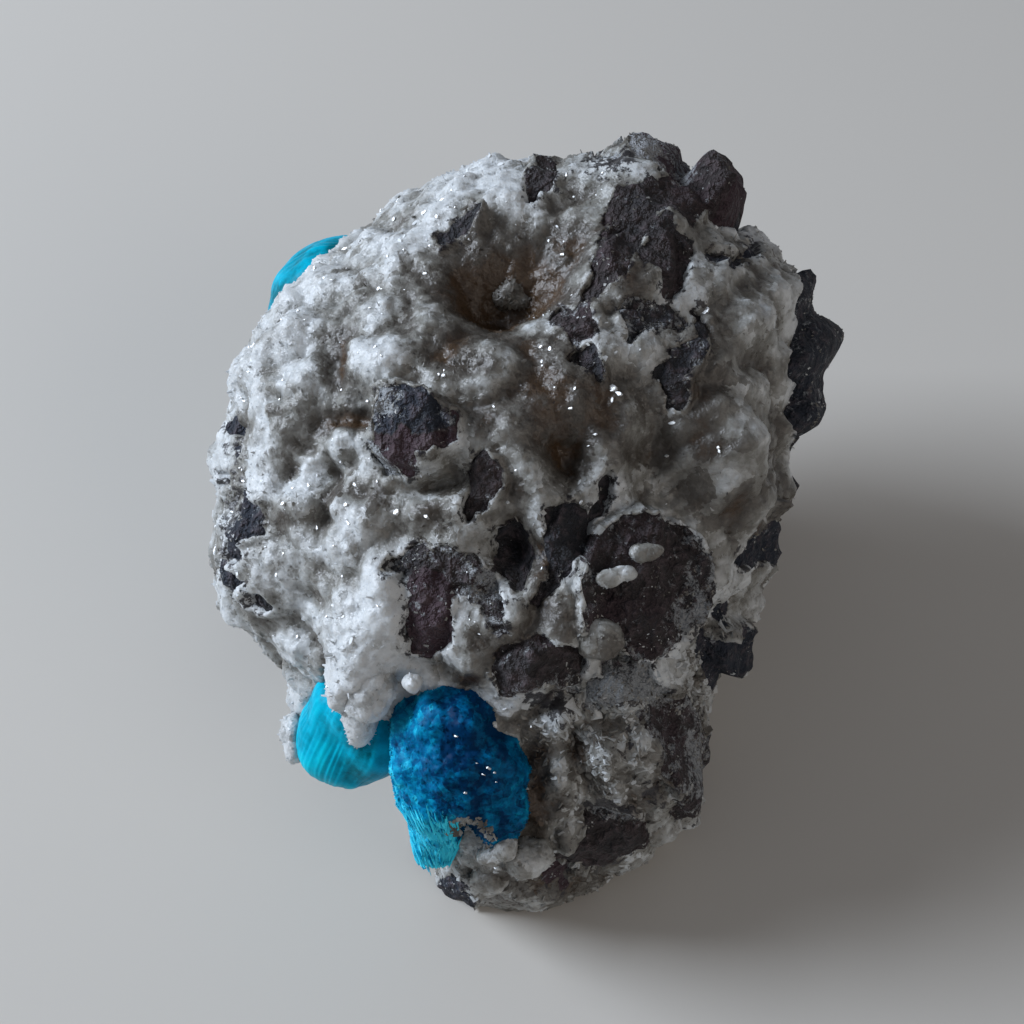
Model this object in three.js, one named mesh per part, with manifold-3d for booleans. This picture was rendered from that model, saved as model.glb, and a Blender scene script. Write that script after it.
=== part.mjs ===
/*
 * Cavansite specimen: a palm-sized chunk of dark basalt under a crust of white zeolite crystals,
 * with three clusters of blue cavansite blades grown on it.
 *
 * Millimetres. +Z is up and the chunk stands on its flat base at Z = 0. Its best face looks forwards
 * (-Y) and up. The shapes are laid out in face coordinates: `right` along +X, `up` along the leaning
 * face and `out` away from the stone, all from the middle of the stone. Places on the face are given
 * as they line up for an eye in front of it, so what stands nearer to that eye is drawn in a little.
 */
import * as THREE from 'three';
import { mergeVertices } from 'three/addons/utils/BufferGeometryUtils.js';
import Module from 'manifold-3d';

// ---- Driving dimensions, in millimetres and degrees -------------------------------------------

const STONE_CENTRE = new THREE.Vector3(-0.29, -2.56, 18);
const FACE_TILT = 50; // how far the face looks up from the level
const EYE = { right: -1, up: 0.7, out: 119.5 };
const FRONT_DEPTH = 15;
const BACK_DEPTH = 22;
const HALF_SIZE = new THREE.Vector3(20, 24, FRONT_DEPTH); // roughly, for the way a cluster faces
const CRUST_THICKNESS = 1.7;
const CRUST_TUCK = 2.4; // how far the crust's own surface dips under the basalt at an outcrop
const GAP = 0.35; // between pieces that touch
const BASALT_GAP = 0.4; // the same, with the facets' own sag
const BASALT_DETAIL = 7; // icosphere steps
const CRUST_DETAIL = 9;
const FACE_BIAS = 0.3; // draws the facets towards the best face, which gets the finer ones

// Reliefs, from the broadest to the finest.
const SWELL = { height: 0.7, length: 13, seed: 1 };
const CRUST_LUMPS = { height: 0.8, length: 7, seed: 3 };
const ROCK_BUMPS = { height: 0.45, length: 4.5, seed: 2 };
const LUMP_MEAN = 0.6; // the lumps' own mean, as a part of their height, so that they stand level
const CRUST_BUMPS = { height: 0.25, length: 3.2, seed: 4 };
const OUTCROP_WANDER = { height: 0.12, length: 3, seed: 5 };

// Where a lump's or an outcrop's share ends, as a part of its size.
const FORM_REACH = 1.6;
const OUTCROP_EDGE = [0.75, 1.2];

// The stone's outline round the face, [right, up], counter-clockwise from the right.
const OUTLINE = [
  [18.5, 3.6], [19.2, 8.5], [19.5, 12.7], [19.2, 18], [15.3, 20.8], [11.8, 25], [8, 26.7],
  [3.8, 26], [1, 25.3], [-3.2, 25.1], [-6.7, 23.8], [-9.9, 22.3], [-12.3, 20.2], [-15.5, 17.8],
  [-18.1, 15.2], [-20, 11.7], [-20.7, 7.5], [-21.4, 4.7], [-22, 1.5], [-21.9, -2], [-21.1, -5.5],
  [-18.5, -9.3], [-16.7, -11.8], [-15.3, -13.9], [-12.4, -14.8], [-9.2, -16.9], [-7.3, -22],
  [-5, -26.3], [-1.8, -27.2], [1.3, -26.7], [4.5, -25.2], [8.7, -24], [11.3, -21.6], [12.5, -16],
  [13.7, -11.8], [16.2, -6.9], [17.4, -1.6],
];

// Lumps and hollows that the rock and its crust share: lift is how far each rises, or sinks.
const FORMS = [
  { name: 'vug', at: [-1.8, 17.3], size: [6.5, 4.6], turn: 0, lift: -4 },
  { name: 'small vug', at: [3, 4.8], size: [3, 3], turn: 0, lift: -2.2 },
  { name: 'hole', at: [-1, -2], size: [2.6, 3.2], turn: 0, lift: -3.4 },
  { name: 'groove under the knob', at: [-6.5, 2.6], size: [3.4, 1.2], turn: 10, lift: -1.8 },
  { name: 'upper lump', at: [-9.9, 11.3], size: [4.2, 3.4], turn: 0, lift: 1.6 },
  { name: 'right bulge', at: [14, 5.7], size: [4, 8], turn: 8, lift: 1.8 },
  { name: 'right groove', at: [9.8, 4.5], size: [2.4, 7], turn: 12, lift: -1.6 },
  { name: 'left hollow', at: [-14.5, 3.5], size: [4.5, 1.8], turn: 12, lift: -1.2 },
  { name: 'lower left ridge', at: [-12.3, -8.5], size: [2.6, 7.5], turn: -6, lift: 1.8 },
  { name: 'lower left hollow', at: [-16.3, -6.5], size: [2.2, 5], turn: 8, lift: -1.1 },
  { name: 'right notch', at: [13.6, -14.2], size: [2.2, 2], turn: 0, lift: -1.2 },
  { name: 'foot lump', at: [6, -17.5], size: [5, 4.5], turn: 0, lift: 1.4 },
  { name: 'toe', at: [-1.2, -24.5], size: [4.5, 2.8], turn: 0, lift: 1.2 },
  { name: 'lip over the fan', at: [-11.5, -11.6], size: [2.4, 2.2], turn: 0, lift: 1.4 },
  { name: 'back vug', side: 'back', at: [6, 8], size: [6, 5], turn: 20, lift: -3 },
  { name: 'back lump', side: 'back', at: [-8, 4], size: [7, 6], turn: 0, lift: 2 },
  { name: 'back ledge', side: 'back', at: [2, 19], size: [9, 3], turn: -10, lift: 1.6 },
];

// Where the basalt comes through the crust: lift is the height of its top over the stone's surface.
const OUTCROPS = [
  { name: 'summit left', at: [9, 22.2], size: [3.6, 2.2], turn: 0, lift: 0 },
  { name: 'summit right', at: [7.8, 18], size: [3, 3.4], turn: 0, lift: 0.2 },
  { name: 'horn', at: [13.9, 23.6], size: [3, 3.2], turn: 0, lift: 3.2 },
  { name: 'crest', at: [8.6, 25.6], size: [2.4, 1.7], turn: 0, lift: 0.2 },
  { name: 'star', at: [3.8, 14.6], size: [2.2, 1.8], turn: 0, lift: 0 },
  { name: 'sill', at: [8.3, 14.3], size: [2.6, 1.3], turn: 0, lift: 0 },
  { name: 'crescent', at: [11.3, 11.7], size: [1.4, 2.7], turn: -20, lift: 0.1 },
  { name: 'right shoulder', at: [20.3, 10.2], size: [2.7, 5.4], turn: 0, lift: 2.4 },
  { name: 'knob', at: [-8, 6.1], size: [3, 3], turn: 0, lift: 1.9 },
  { name: 'patch', at: [-2.7, 3.1], size: [1.6, 2.2], turn: -15, lift: 0 },
  { name: 'red patch', at: [-7.1, -6], size: [2.1, 3.2], turn: 0, lift: 0.4 },
  { name: 'red patch top', at: [-5.3, -3.1], size: [4.2, 1.5], turn: -8, lift: 0.2 },
  { name: 'hole floor', at: [-0.9, -2.2], size: [1.7, 2.6], turn: 0, lift: 0 },
  { name: 'cleft', at: [3.4, -0.9], size: [2.3, 3.2], turn: -20, lift: -0.6 },
  { name: 'boss', at: [8.1, -4.8], size: [4, 5.4], turn: -10, lift: 1.2 },
  { name: 'lower patch', at: [1.2, -10.2], size: [3.4, 2.3], turn: 0, lift: 0.4 },
  { name: 'lower band', at: [8, -11.2], size: [3.8, 1.9], turn: 20, lift: 0.3 },
  { name: 'lower right', at: [11.2, -16.5], size: [1.8, 3.6], turn: 0, lift: 0.5 },
  { name: 'foot', at: [5.4, -22.4], size: [3.6, 2], turn: 8, lift: 0.3 },
  { name: 'left streak', at: [-20.3, -0.9], size: [1.3, 4], turn: 0, lift: 0.1 },
  { name: 'right flank', at: [15.2, -9.1], size: [2, 2.2], turn: 0, lift: 1.2 },
  { name: 'back top', side: 'back', at: [5, 20], size: [7, 4], turn: 15, lift: 1.2 },
  { name: 'back middle', side: 'back', at: [-2, 6], size: [5, 6.5], turn: 30, lift: 0.8 },
  { name: 'back right', side: 'back', at: [14, 2], size: [4.5, 7], turn: -10, lift: 1.2 },
  { name: 'back left', side: 'back', at: [-15, -4], size: [4, 5], turn: 0, lift: 0.6 },
];

// Cavansite clusters, each of balls grown together. sink is how far a ball's middle lies under the
// stone's surface, nodule is how knobbly it is as a part of its size, blades is how many broad
// crystals stand out of its open side, and stand is by how much they do.
const CLUSTERS = {
  cavansite_front_ball: [
    { at: [-4, -15.9], sink: 0.8, radii: [5, 4.3, 3.6], detail: 3, nodule: 0.12, blades: 16, stand: 0.5 },
    { at: [-5.6, -20.9], sink: 0.6, radii: [3, 3.4, 3], detail: 2, nodule: 0.1, blades: 10, stand: 0.5 },
    { at: [-1.9, -19.9], sink: 0.2, radii: [2.5, 2.8, 2.4], detail: 2, nodule: 0.1, blades: 6, stand: 0.4 },
  ],
  cavansite_left_fan: [
    { at: [-12.6, -15.9], sink: -2.5, radii: [3.8, 2.7, 3.2], detail: 2, nodule: 0, blades: 6, stand: 0.2 },
    { at: [-14.9, -13.6], sink: -1, radii: [1.7, 3, 2.2], detail: 2, nodule: 0, blades: 4, stand: 0.2 },
  ],
  cavansite_back_ball: [
    { at: [-12.6, 14.4], sink: 16, radii: [6, 6, 6], detail: 3, nodule: 0.05, blades: 14, stand: 0.3 },
  ],
};

const COLOURS = {
  basalt: { color: 0x3a2d30, roughness: 0.9, metalness: 0 },
  zeolite: { color: 0xc9cbc9, roughness: 0.45, metalness: 0 },
  cavansiteBlue: { color: 0x0a5c96, roughness: 0.4, metalness: 0 },
  cavansiteTeal: { color: 0x0d9fb0, roughness: 0.4, metalness: 0 },
};

// ---- Face coordinates -------------------------------------------------------------------------

const tilt = THREE.MathUtils.degToRad(FACE_TILT);
const RIGHT = new THREE.Vector3(1, 0, 0);
const UP = new THREE.Vector3(0, Math.sin(tilt), Math.cos(tilt));
const OUT = new THREE.Vector3(0, -Math.cos(tilt), Math.sin(tilt));

/** The row-frame point of face coordinates. */
function toRow(right, up, out) {
  return STONE_CENTRE.clone().addScaledVector(RIGHT, right).addScaledVector(UP, up).addScaledVector(OUT, out);
}

/** Draws a place on the face towards the eye's axis, by how far out it stands. */
function drawnIn(right, up, out) {
  const share = out / EYE.out;
  return [right + (EYE.right - right) * share, up + (EYE.up - up) * share, out];
}

/** The outline's distance from the stone's middle at an angle, softened between its points. */
function outlineRadius(angle) {
  const spread = THREE.MathUtils.degToRad(5);
  let weights = 0;
  let sum = 0;
  for (const [right, up] of OUTLINE) {
    const turn = Math.atan2(Math.sin(angle - Math.atan2(up, right)), Math.cos(angle - Math.atan2(up, right)));
    const weight = Math.exp(-((turn / spread) ** 2));
    weights += weight;
    sum += weight * Math.hypot(right, up);
  }
  return sum / weights;
}

// ---- Relief -----------------------------------------------------------------------------------

/** Smooth relief: waves of about one length that cross at even angles. */
function waves(point, { height, length, seed }) {
  const count = 14;
  const goldenAngle = Math.PI * (3 - Math.sqrt(5));
  let sum = 0;
  for (let i = 0; i < count; i++) {
    const rise = 1 - (2 * i + 1) / count;
    const flat = Math.sqrt(1 - rise * rise);
    const turn = goldenAngle * i + seed;
    const along = point.x * flat * Math.cos(turn) + point.y * flat * Math.sin(turn) + point.z * rise;
    const ownLength = length * (0.75 + 0.5 * ((i * 0.618 + seed * 0.37) % 1));
    sum += Math.sin((2 * Math.PI * along) / ownLength + 2.4 * i * seed);
  }
  return (height * sum) / Math.sqrt(2 * count);
}

/** How far out of an elliptical spot a place lies: 0 at its middle, 1 on its edge. */
function spotDistance(spot, right, up) {
  const turn = THREE.MathUtils.degToRad(spot.turn);
  const dx = right - spot.at[0];
  const dy = up - spot.at[1];
  const along = (dx * Math.cos(turn) + dy * Math.sin(turn)) / spot.size[0];
  const across = (-dx * Math.sin(turn) + dy * Math.cos(turn)) / spot.size[1];
  return Math.hypot(along, across);
}

/** 1 on the spot's own side of the stone, fading to 0 round the rim. */
function sideShare(spot, facing) {
  const towards = spot.side === 'back' ? -facing : facing;
  return THREE.MathUtils.smoothstep(towards, -0.55, -0.15);
}

/** The stone at one direction from its middle: surface point, normal, and what the reliefs need. */
function stoneAt(direction) {
  const radius = outlineRadius(Math.atan2(direction.y, direction.x));
  const depth = direction.z > 0 ? FRONT_DEPTH : BACK_DEPTH;
  const right = radius * direction.x;
  const up = radius * direction.y;
  const [a, b, c] = drawnIn(right, up, depth * direction.z);
  const normal = direction.clone().divide(new THREE.Vector3(radius, radius, depth)).normalize();
  return { right, up, facing: direction.z, point: new THREE.Vector3(a, b, c), normal };
}

/** The relief that rock and crust share. */
function sharedLift(stone) {
  let lift = waves(stone.point, SWELL);
  for (const form of FORMS) {
    const d = spotDistance(form, stone.right, stone.up);
    if (d < FORM_REACH) lift += form.lift * sideShare(form, stone.facing) * Math.exp(-2 * d * d);
  }
  return lift;
}

/** How much of the crust is missing at a place, 0 to 1, and how high the rock stands there. */
function outcropAt(stone) {
  const wander = waves(stone.point, OUTCROP_WANDER);
  let share = 0;
  let lift = 0;
  for (const outcrop of OUTCROPS) {
    const d = spotDistance(outcrop, stone.right, stone.up) + wander;
    const own = (1 - THREE.MathUtils.smoothstep(d, ...OUTCROP_EDGE)) * sideShare(outcrop, stone.facing);
    if (own > share) {
      share = own;
      lift = outcrop.lift;
    }
  }
  return { share, lift };
}

/** Height of the basalt over the stone's surface. */
function basaltLift(stone) {
  const { share, lift } = outcropAt(stone);
  const bumps = waves(stone.point, ROCK_BUMPS) * THREE.MathUtils.lerp(0.4, 1, share);
  return sharedLift(stone) + bumps + THREE.MathUtils.lerp(-CRUST_THICKNESS, lift, share);
}

/** Height of the crust: lumpy, and sunk under the basalt at an outcrop. */
function crustLift(stone) {
  const { share, lift } = outcropAt(stone);
  const lumps = Math.abs(waves(stone.point, CRUST_LUMPS)) - CRUST_LUMPS.height * LUMP_MEAN;
  const own = lumps + waves(stone.point, CRUST_BUMPS);
  return sharedLift(stone) + THREE.MathUtils.lerp(own, Math.min(lift, 0) - CRUST_TUCK, share);
}

// ---- Solids -----------------------------------------------------------------------------------

const wasm = await Module();
wasm.setup();

/** A closed geometry as a solid that can be cut and joined. */
function toSolid(geometry) {
  const bare = geometry.clone();
  bare.deleteAttribute('normal');
  bare.deleteAttribute('uv');
  const merged = mergeVertices(bare, 1e-4);
  return new wasm.Manifold(new wasm.Mesh({
    numProp: 3,
    vertProperties: new Float32Array(merged.attributes.position.array),
    triVerts: new Uint32Array(merged.index.array),
  }));
}

/** A solid as a named mesh. */
function toMesh(solid, name, colour) {
  const mesh = solid.getMesh();
  const geometry = new THREE.BufferGeometry();
  const positions = new Float32Array(mesh.numVert * 3);
  for (let i = 0; i < mesh.numVert; i++) {
    positions.set(mesh.vertProperties.subarray(i * mesh.numProp, i * mesh.numProp + 3), i * 3);
  }
  geometry.setAttribute('position', new THREE.BufferAttribute(positions, 3));
  geometry.setIndex(new THREE.BufferAttribute(mesh.triVerts, 1));
  geometry.computeVertexNormals();
  const made = new THREE.Mesh(geometry, new THREE.MeshStandardMaterial(colour));
  made.name = name;
  return made;
}

/** The largest of a solid's separate bodies, without the crumbs that a cut leaves. */
function largestBody(solid) {
  return solid.decompose().reduce((best, body) => (body.volume() > best.volume() ? body : best));
}

/** A closed skin round the stone at the height that `lift` gives. */
function skin(detail, lift) {
  const geometry = new THREE.IcosahedronGeometry(1, detail);
  const position = geometry.attributes.position;
  for (let i = 0; i < position.count; i++) {
    const even = new THREE.Vector3().fromBufferAttribute(position, i);
    const stone = stoneAt(even.setZ(even.z + FACE_BIAS).normalize());
    const place = stone.point.clone().addScaledVector(stone.normal, lift(stone));
    const row = toRow(place.x, place.y, place.z);
    position.setXYZ(i, row.x, row.y, row.z);
  }
  return toSolid(geometry);
}

/** A block that takes away everything under the flat base. */
function ground() {
  const size = 200;
  const geometry = new THREE.BoxGeometry(size, size, size);
  geometry.translate(0, 0, -size / 2);
  return toSolid(geometry);
}

/** The middle of a ball, in face coordinates. */
function ballCentre({ at, sink }) {
  const radius = outlineRadius(Math.atan2(at[1], at[0]));
  const share = Math.min(1, Math.hypot(at[0], at[1]) / radius);
  const surface = FRONT_DEPTH * Math.sqrt(1 - share * share);
  return new THREE.Vector3(...drawnIn(at[0], at[1], surface - sink));
}

const BLADE_AXIS = new THREE.Vector3(0, 1, 0);

/** One blade: a flat four-sided prism with a pointed end, its root at the origin, along its axis. */
function blade(width, thickness, length) {
  const shoulder = 1 - 0.45 * Math.min(1, width / length);
  const profile = [[0, 0], [0.8, 0], [1, shoulder], [0, 1]].map(([x, y]) => new THREE.Vector2(x, y));
  const geometry = new THREE.LatheGeometry(profile, 4);
  geometry.scale(width / 2, length, thickness / 2);
  return geometry;
}

/** A nodular ball with blades that fan out from its middle. `grow` swells it all over. */
function ball(options, grow) {
  const { radii, detail, nodule, blades, stand } = options;
  const centre = ballCentre(options);
  const outwards = centre.clone().divide(HALF_SIZE).normalize();
  const reach = (direction) => 1 + waves(direction, { height: nodule, length: 0.85, seed: 6 });
  const core = new THREE.IcosahedronGeometry(1, detail);
  const position = core.attributes.position;
  for (let i = 0; i < position.count; i++) {
    const direction = new THREE.Vector3().fromBufferAttribute(position, i).normalize();
    const swell = reach(direction);
    position.setXYZ(
      i,
      direction.x * (radii[0] * swell + grow),
      direction.y * (radii[1] * swell + grow),
      direction.z * (radii[2] * swell + grow),
    );
  }
  let solid = toSolid(core);
  const goldenAngle = Math.PI * (3 - Math.sqrt(5));
  const toOpenSide = new THREE.Quaternion().setFromUnitVectors(new THREE.Vector3(0, 0, 1), outwards);
  for (let i = 0; i < blades; i++) {
    const rise = 1 - (1.15 * (i + 0.5)) / blades;
    const flat = Math.sqrt(1 - rise * rise);
    const turn = goldenAngle * i;
    const direction = new THREE.Vector3(flat * Math.cos(turn), flat * Math.sin(turn), rise);
    direction.applyQuaternion(toOpenSide);
    const tip = direction.clone().multiply(new THREE.Vector3(...radii)).multiplyScalar(reach(direction));
    const length = tip.length() + stand * (0.7 + 0.6 * ((i * 0.618) % 1)) + grow;
    const width = 0.6 * Math.min(...radii) + 2 * grow;
    const geometry = blade(width, 0.5 * width + grow, length);
    geometry.rotateY(turn);
    geometry.applyQuaternion(new THREE.Quaternion().setFromUnitVectors(BLADE_AXIS, tip.normalize()));
    solid = solid.add(toSolid(geometry));
  }
  const place = new THREE.Matrix4().makeBasis(RIGHT, UP, OUT);
  place.setPosition(toRow(centre.x, centre.y, centre.z));
  return solid.transform(place.toArray());
}

/** A cluster of balls grown together. */
function cluster(balls, grow) {
  return balls.map((options) => ball(options, grow)).reduce((all, one) => all.add(one));
}

// ---- The specimen -----------------------------------------------------------------------------

const floor = ground();
const specimen = new THREE.Group();
specimen.name = 'cavansite_specimen';

const swollen = Object.values(CLUSTERS).map((balls) => cluster(balls, GAP));
const sockets = swollen.reduce((all, one) => all.add(one));
const basalt = skin(BASALT_DETAIL, basaltLift);
const basaltSwollen = skin(BASALT_DETAIL, (stone) => basaltLift(stone) + BASALT_GAP);
const crust = skin(CRUST_DETAIL, crustLift);

specimen.add(toMesh(
  largestBody(basalt.subtract(sockets).subtract(floor)),
  'basalt_matrix',
  COLOURS.basalt,
));
specimen.add(toMesh(
  largestBody(crust.subtract(basaltSwollen).subtract(sockets).subtract(floor)),
  'zeolite_crust',
  COLOURS.zeolite,
));
for (const [name, balls] of Object.entries(CLUSTERS)) {
  const colour = name === 'cavansite_front_ball' ? COLOURS.cavansiteBlue : COLOURS.cavansiteTeal;
  specimen.add(toMesh(largestBody(cluster(balls, 0)), name, colour));
}

export default specimen;
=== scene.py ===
"""Looks of a cavansite specimen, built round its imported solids.

A chunk of dark basalt is covered by a druse of white zeolite, and three clusters of blue cavansite
blades grow on it. Shapes are worked out in millimetres in face coordinates: `right` along +X, `up`
along the leaning face and `out` away from the stone, all from the middle of the stone. Meshes are
written in metres, in the row frame.
"""

from __future__ import annotations

import itertools
import logging
import math
from collections.abc import Iterable, Mapping, Sequence
from dataclasses import dataclass, replace
from enum import Enum
from functools import cache

import bmesh
import bpy
import numpy as np
from bpy.types import Material, NodeSocket, NodeTree, Object
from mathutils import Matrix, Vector
from numpy.random import Generator, default_rng

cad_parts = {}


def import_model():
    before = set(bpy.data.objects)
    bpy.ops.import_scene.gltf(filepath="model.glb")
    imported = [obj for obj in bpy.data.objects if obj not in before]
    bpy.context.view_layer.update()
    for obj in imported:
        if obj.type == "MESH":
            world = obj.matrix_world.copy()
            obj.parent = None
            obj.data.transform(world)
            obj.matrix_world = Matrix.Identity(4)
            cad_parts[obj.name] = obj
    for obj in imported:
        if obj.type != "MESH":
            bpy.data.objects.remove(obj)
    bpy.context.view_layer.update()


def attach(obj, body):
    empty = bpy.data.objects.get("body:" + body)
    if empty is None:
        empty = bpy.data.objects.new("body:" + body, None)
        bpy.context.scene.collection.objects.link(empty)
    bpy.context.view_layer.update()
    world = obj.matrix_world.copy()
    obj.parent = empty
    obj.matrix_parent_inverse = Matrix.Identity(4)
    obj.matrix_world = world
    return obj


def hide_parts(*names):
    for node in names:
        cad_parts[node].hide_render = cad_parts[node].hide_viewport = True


Array = np.ndarray
Pair = tuple[float, float]
Triple = tuple[float, float, float]
MM = 0.001
FAR = 9.0  # further than any nearest distance, whatever it is measured in
TINY = 1e-9
GOLDEN_ANGLE = math.pi * (3 - math.sqrt(5))
BODY = "root"

log = logging.getLogger("cavansite")


# ---- Colours and nodes ----


def linear(colour: str) -> tuple[float, float, float, float]:
    """Turns an sRGB hex colour to linear light.

    Args:
        colour: six hex digits after a #.

    Returns:
        Linear red, green, blue and an alpha of 1.
    """
    channels = [int(colour[i : i + 2], 16) / 255 for i in (1, 3, 5)]
    lit = [c / 12.92 if c <= 0.04045 else ((c + 0.055) / 1.055) ** 2.4 for c in channels]
    return (lit[0], lit[1], lit[2], 1.0)


def add_node(
    tree: NodeTree,
    kind: str,
    settings: Mapping[str | int, object] | None = None,
    links: Mapping[str | int, NodeSocket] | None = None,
    out: str | int = 0,
) -> NodeSocket | None:
    """Adds one shader node with its settings and links.

    Args:
        tree: the node tree that it goes into.
        kind: the node's type name, without its ShaderNode.
        settings: values by input name or number, or by property name; `stops` are a colour ramp's
            places from 0 to 1 with their sRGB hex colours, in order.
        links: sockets of other nodes, by input name or number.
        out: the name or number of the output that is wanted.

    Returns:
        That output, or None from a node that has none.
    """
    node = tree.nodes.new(f"ShaderNode{kind}")
    for name, value in (settings or {}).items():
        if name == "stops":
            elements = node.color_ramp.elements
            while len(elements) < len(value):
                elements.new(1.0)
            for element, (place, colour) in zip(elements, value):
                element.position, element.color = place, linear(colour)
        elif isinstance(name, int) or name in node.inputs:
            node.inputs[name].default_value = value
        else:
            setattr(node, name, value)
    for name, socket in (links or {}).items():
        tree.links.new(socket, node.inputs[name])
    return node.outputs[out] if node.outputs else None


def new_material(name: str) -> tuple[Material, NodeTree]:
    """A new material.

    Args:
        name: its name.

    Returns:
        The material and its empty node tree.
    """
    material = bpy.data.materials.new(name)
    material.use_nodes = True
    material.node_tree.nodes.clear()
    return material, material.node_tree


# ---- Noise ----


def hashed(cells: Array, seed: int) -> Array:
    """Three even random numbers from 0 to 1 for each cell of a lattice.

    Args:
        cells: whole coordinates, one row for each cell.
        seed: picks one of many lattices.

    Returns:
        Three numbers for each row.
    """
    x, y, z = (cells[:, i].astype(np.uint64) for i in range(3))
    stirred = (x * np.uint64(73856093)) ^ (y * np.uint64(19349663)) ^ (z * np.uint64(83492791))
    stirred ^= np.uint64(seed * 2654435761 + 97)
    for shift, factor in ((15, 2246822519), (13, 3266489917)):
        stirred = (stirred ^ (stirred >> np.uint64(shift))) * np.uint64(factor)
    stirred ^= stirred >> np.uint64(16)
    parts = [(stirred >> np.uint64(shift)) & np.uint64(0xFFFF) for shift in (0, 16, 32)]
    return np.stack(parts, axis=1).astype(float) / 0xFFFF


def grain(points: Array, size: float, seed: int) -> Array:
    """Smooth value noise from -1 to 1.

    Args:
        points: places in millimetres.
        size: the lattice spacing in millimetres.
        seed: picks one of many fields.

    Returns:
        One number for each place.
    """
    scaled = points / size
    base = np.floor(scaled)
    part = scaled - base
    part = part * part * (3 - 2 * part)
    total = np.zeros(len(points))
    for corner in itertools.product((0, 1), repeat=3):
        weight = np.prod(np.where(corner, part, 1 - part), axis=1)
        total += weight * hashed((base + corner).astype(np.int64), seed)[:, 0]
    return 2 * total - 1


def nearness(points: Array, size: float, seed: int) -> Array:
    """Distance to the nearest of many scattered grain centres, as parts of their spacing.

    Args:
        points: places in millimetres.
        size: the mean spacing of the grains in millimetres.
        seed: picks one of many scatters.

    Returns:
        One distance for each place.
    """
    scaled = points / size
    base = np.floor(scaled).astype(np.int64)
    nearest = np.full(len(points), FAR)
    for step in itertools.product((-1, 0, 1), repeat=3):
        cell = base + step
        gap = np.linalg.norm(cell + hashed(cell, seed) - scaled, axis=1)
        nearest = np.minimum(nearest, gap)
    return nearest


def smoothstep(value: Array, low: float, high: float) -> Array:
    """A smooth rise from 0 at `low` to 1 at `high`."""
    share = np.clip((value - low) / (high - low), 0, 1)
    return share * share * (3 - 2 * share)


def mixed(low: Array | float, high: Array | float, share: Array) -> Array:
    """`low` where the share is 0 and `high` where it is 1."""
    return low + (high - low) * share


@dataclass(frozen=True)
class Knobs:
    """Close knobs, highest at scattered centres; `level` is where they cross the surface."""

    spacing: float
    height: float
    level: float = 0.5

    def at(self, points: Array, seed: int) -> Array:
        """The knobs' height at each place in face coordinates, in millimetres."""
        return self.height * (self.level - nearness(points, self.spacing, seed))


@dataclass(frozen=True)
class Unevenness:
    """Irregular soft bumps and dips."""

    length: float
    height: float

    def at(self, points: Array, seed: int) -> Array:
        """Their height at each place in face coordinates, in millimetres."""
        return self.height * grain(points, self.length, seed)


@dataclass(frozen=True)
class Relief:
    """Waves of about one length that cross at even angles."""

    height: float
    length: float
    seed: int
    count: int = 14

    def at(self, points: Array) -> Array:
        """The relief's height at each place.

        Args:
            points: places in face coordinates.

        Returns:
            One height for each place, in millimetres.
        """
        total = np.zeros(len(points))
        for i in range(self.count):
            rise = 1 - (2 * i + 1) / self.count
            flat = math.sqrt(1 - rise * rise)
            turn = GOLDEN_ANGLE * i + self.seed
            along = points @ np.array([flat * math.cos(turn), flat * math.sin(turn), rise])
            # lengths run from three quarters of the mean to five, and no two waves start together
            own_length = self.length * (0.75 + 0.5 * ((i * 0.618 + self.seed * 0.37) % 1))
            total += np.sin(2 * math.pi * along / own_length + 2.4 * i * self.seed)
        return self.height * total / math.sqrt(2 * self.count)


# ---- Meshes ----


def icosphere(steps: int) -> tuple[Array, Array]:
    """An icosahedron with each face cut `steps` ways, its corners pushed out to a unit ball.

    Args:
        steps: cuts along each edge.

    Returns:
        Unit directions, and the corners of each triangle.
    """
    bm = bmesh.new()
    bmesh.ops.create_icosphere(bm, subdivisions=1, radius=1.0)
    corners = np.array([v.co[:] for v in bm.verts])
    faces = np.array([[v.index for v in f.verts] for f in bm.faces])
    bm.free()
    lattice = [(i, j) for i in range(steps + 1) for j in range(steps + 1 - i)]
    number = {place: n for n, place in enumerate(lattice)}
    weights = np.array([(steps - i - j, i, j) for i, j in lattice]) / steps
    upright, inverted = ((0, 0), (1, 0), (0, 1)), ((1, 0), (1, 1), (0, 1))
    small = [
        [number[i + right, j + up] for right, up in shape]
        for shape, rim in ((upright, 0), (inverted, 1))
        for i, j in lattice
        if i + j < steps - rim
    ]
    points = (weights @ corners[faces]).reshape(-1, 3)
    first_of = np.arange(len(faces))[:, None, None] * len(lattice)
    triangles = (first_of + np.array(small)).reshape(-1, 3)
    _, first, merged = np.unique(np.round(points, 6), axis=0, return_index=True, return_inverse=True)
    return unit(points[first]), merged.reshape(-1)[triangles]


def unit(vectors: Array) -> Array:
    """The vectors, one to a row, at a length of 1."""
    return vectors / np.maximum(np.linalg.norm(vectors, axis=1), TINY)[:, None]


def crossed(points: Array, triangles: Array) -> Array:
    """A normal of each triangle, as long as twice its area."""
    first, second, third = (points[triangles[:, i]] for i in range(3))
    return np.cross(second - first, third - first)


def corner_normals(points: Array, triangles: Array) -> Array:
    """The area-weighted normal at each corner of a mesh.

    Args:
        points: the corners.
        triangles: the corners' numbers, three for each triangle.

    Returns:
        One unit normal for each corner.
    """
    total, facing = np.zeros_like(points), crossed(points, triangles)
    for i in range(3):
        np.add.at(total, triangles[:, i], facing)
    return unit(total)


@dataclass(frozen=True)
class Facets:
    """Triangles in row-frame millimetres, with a mark at each corner.

    `normals` holds one shading normal for each corner of each triangle.
    """

    points: Array
    triangles: Array
    mark: Array
    normals: Array


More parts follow.
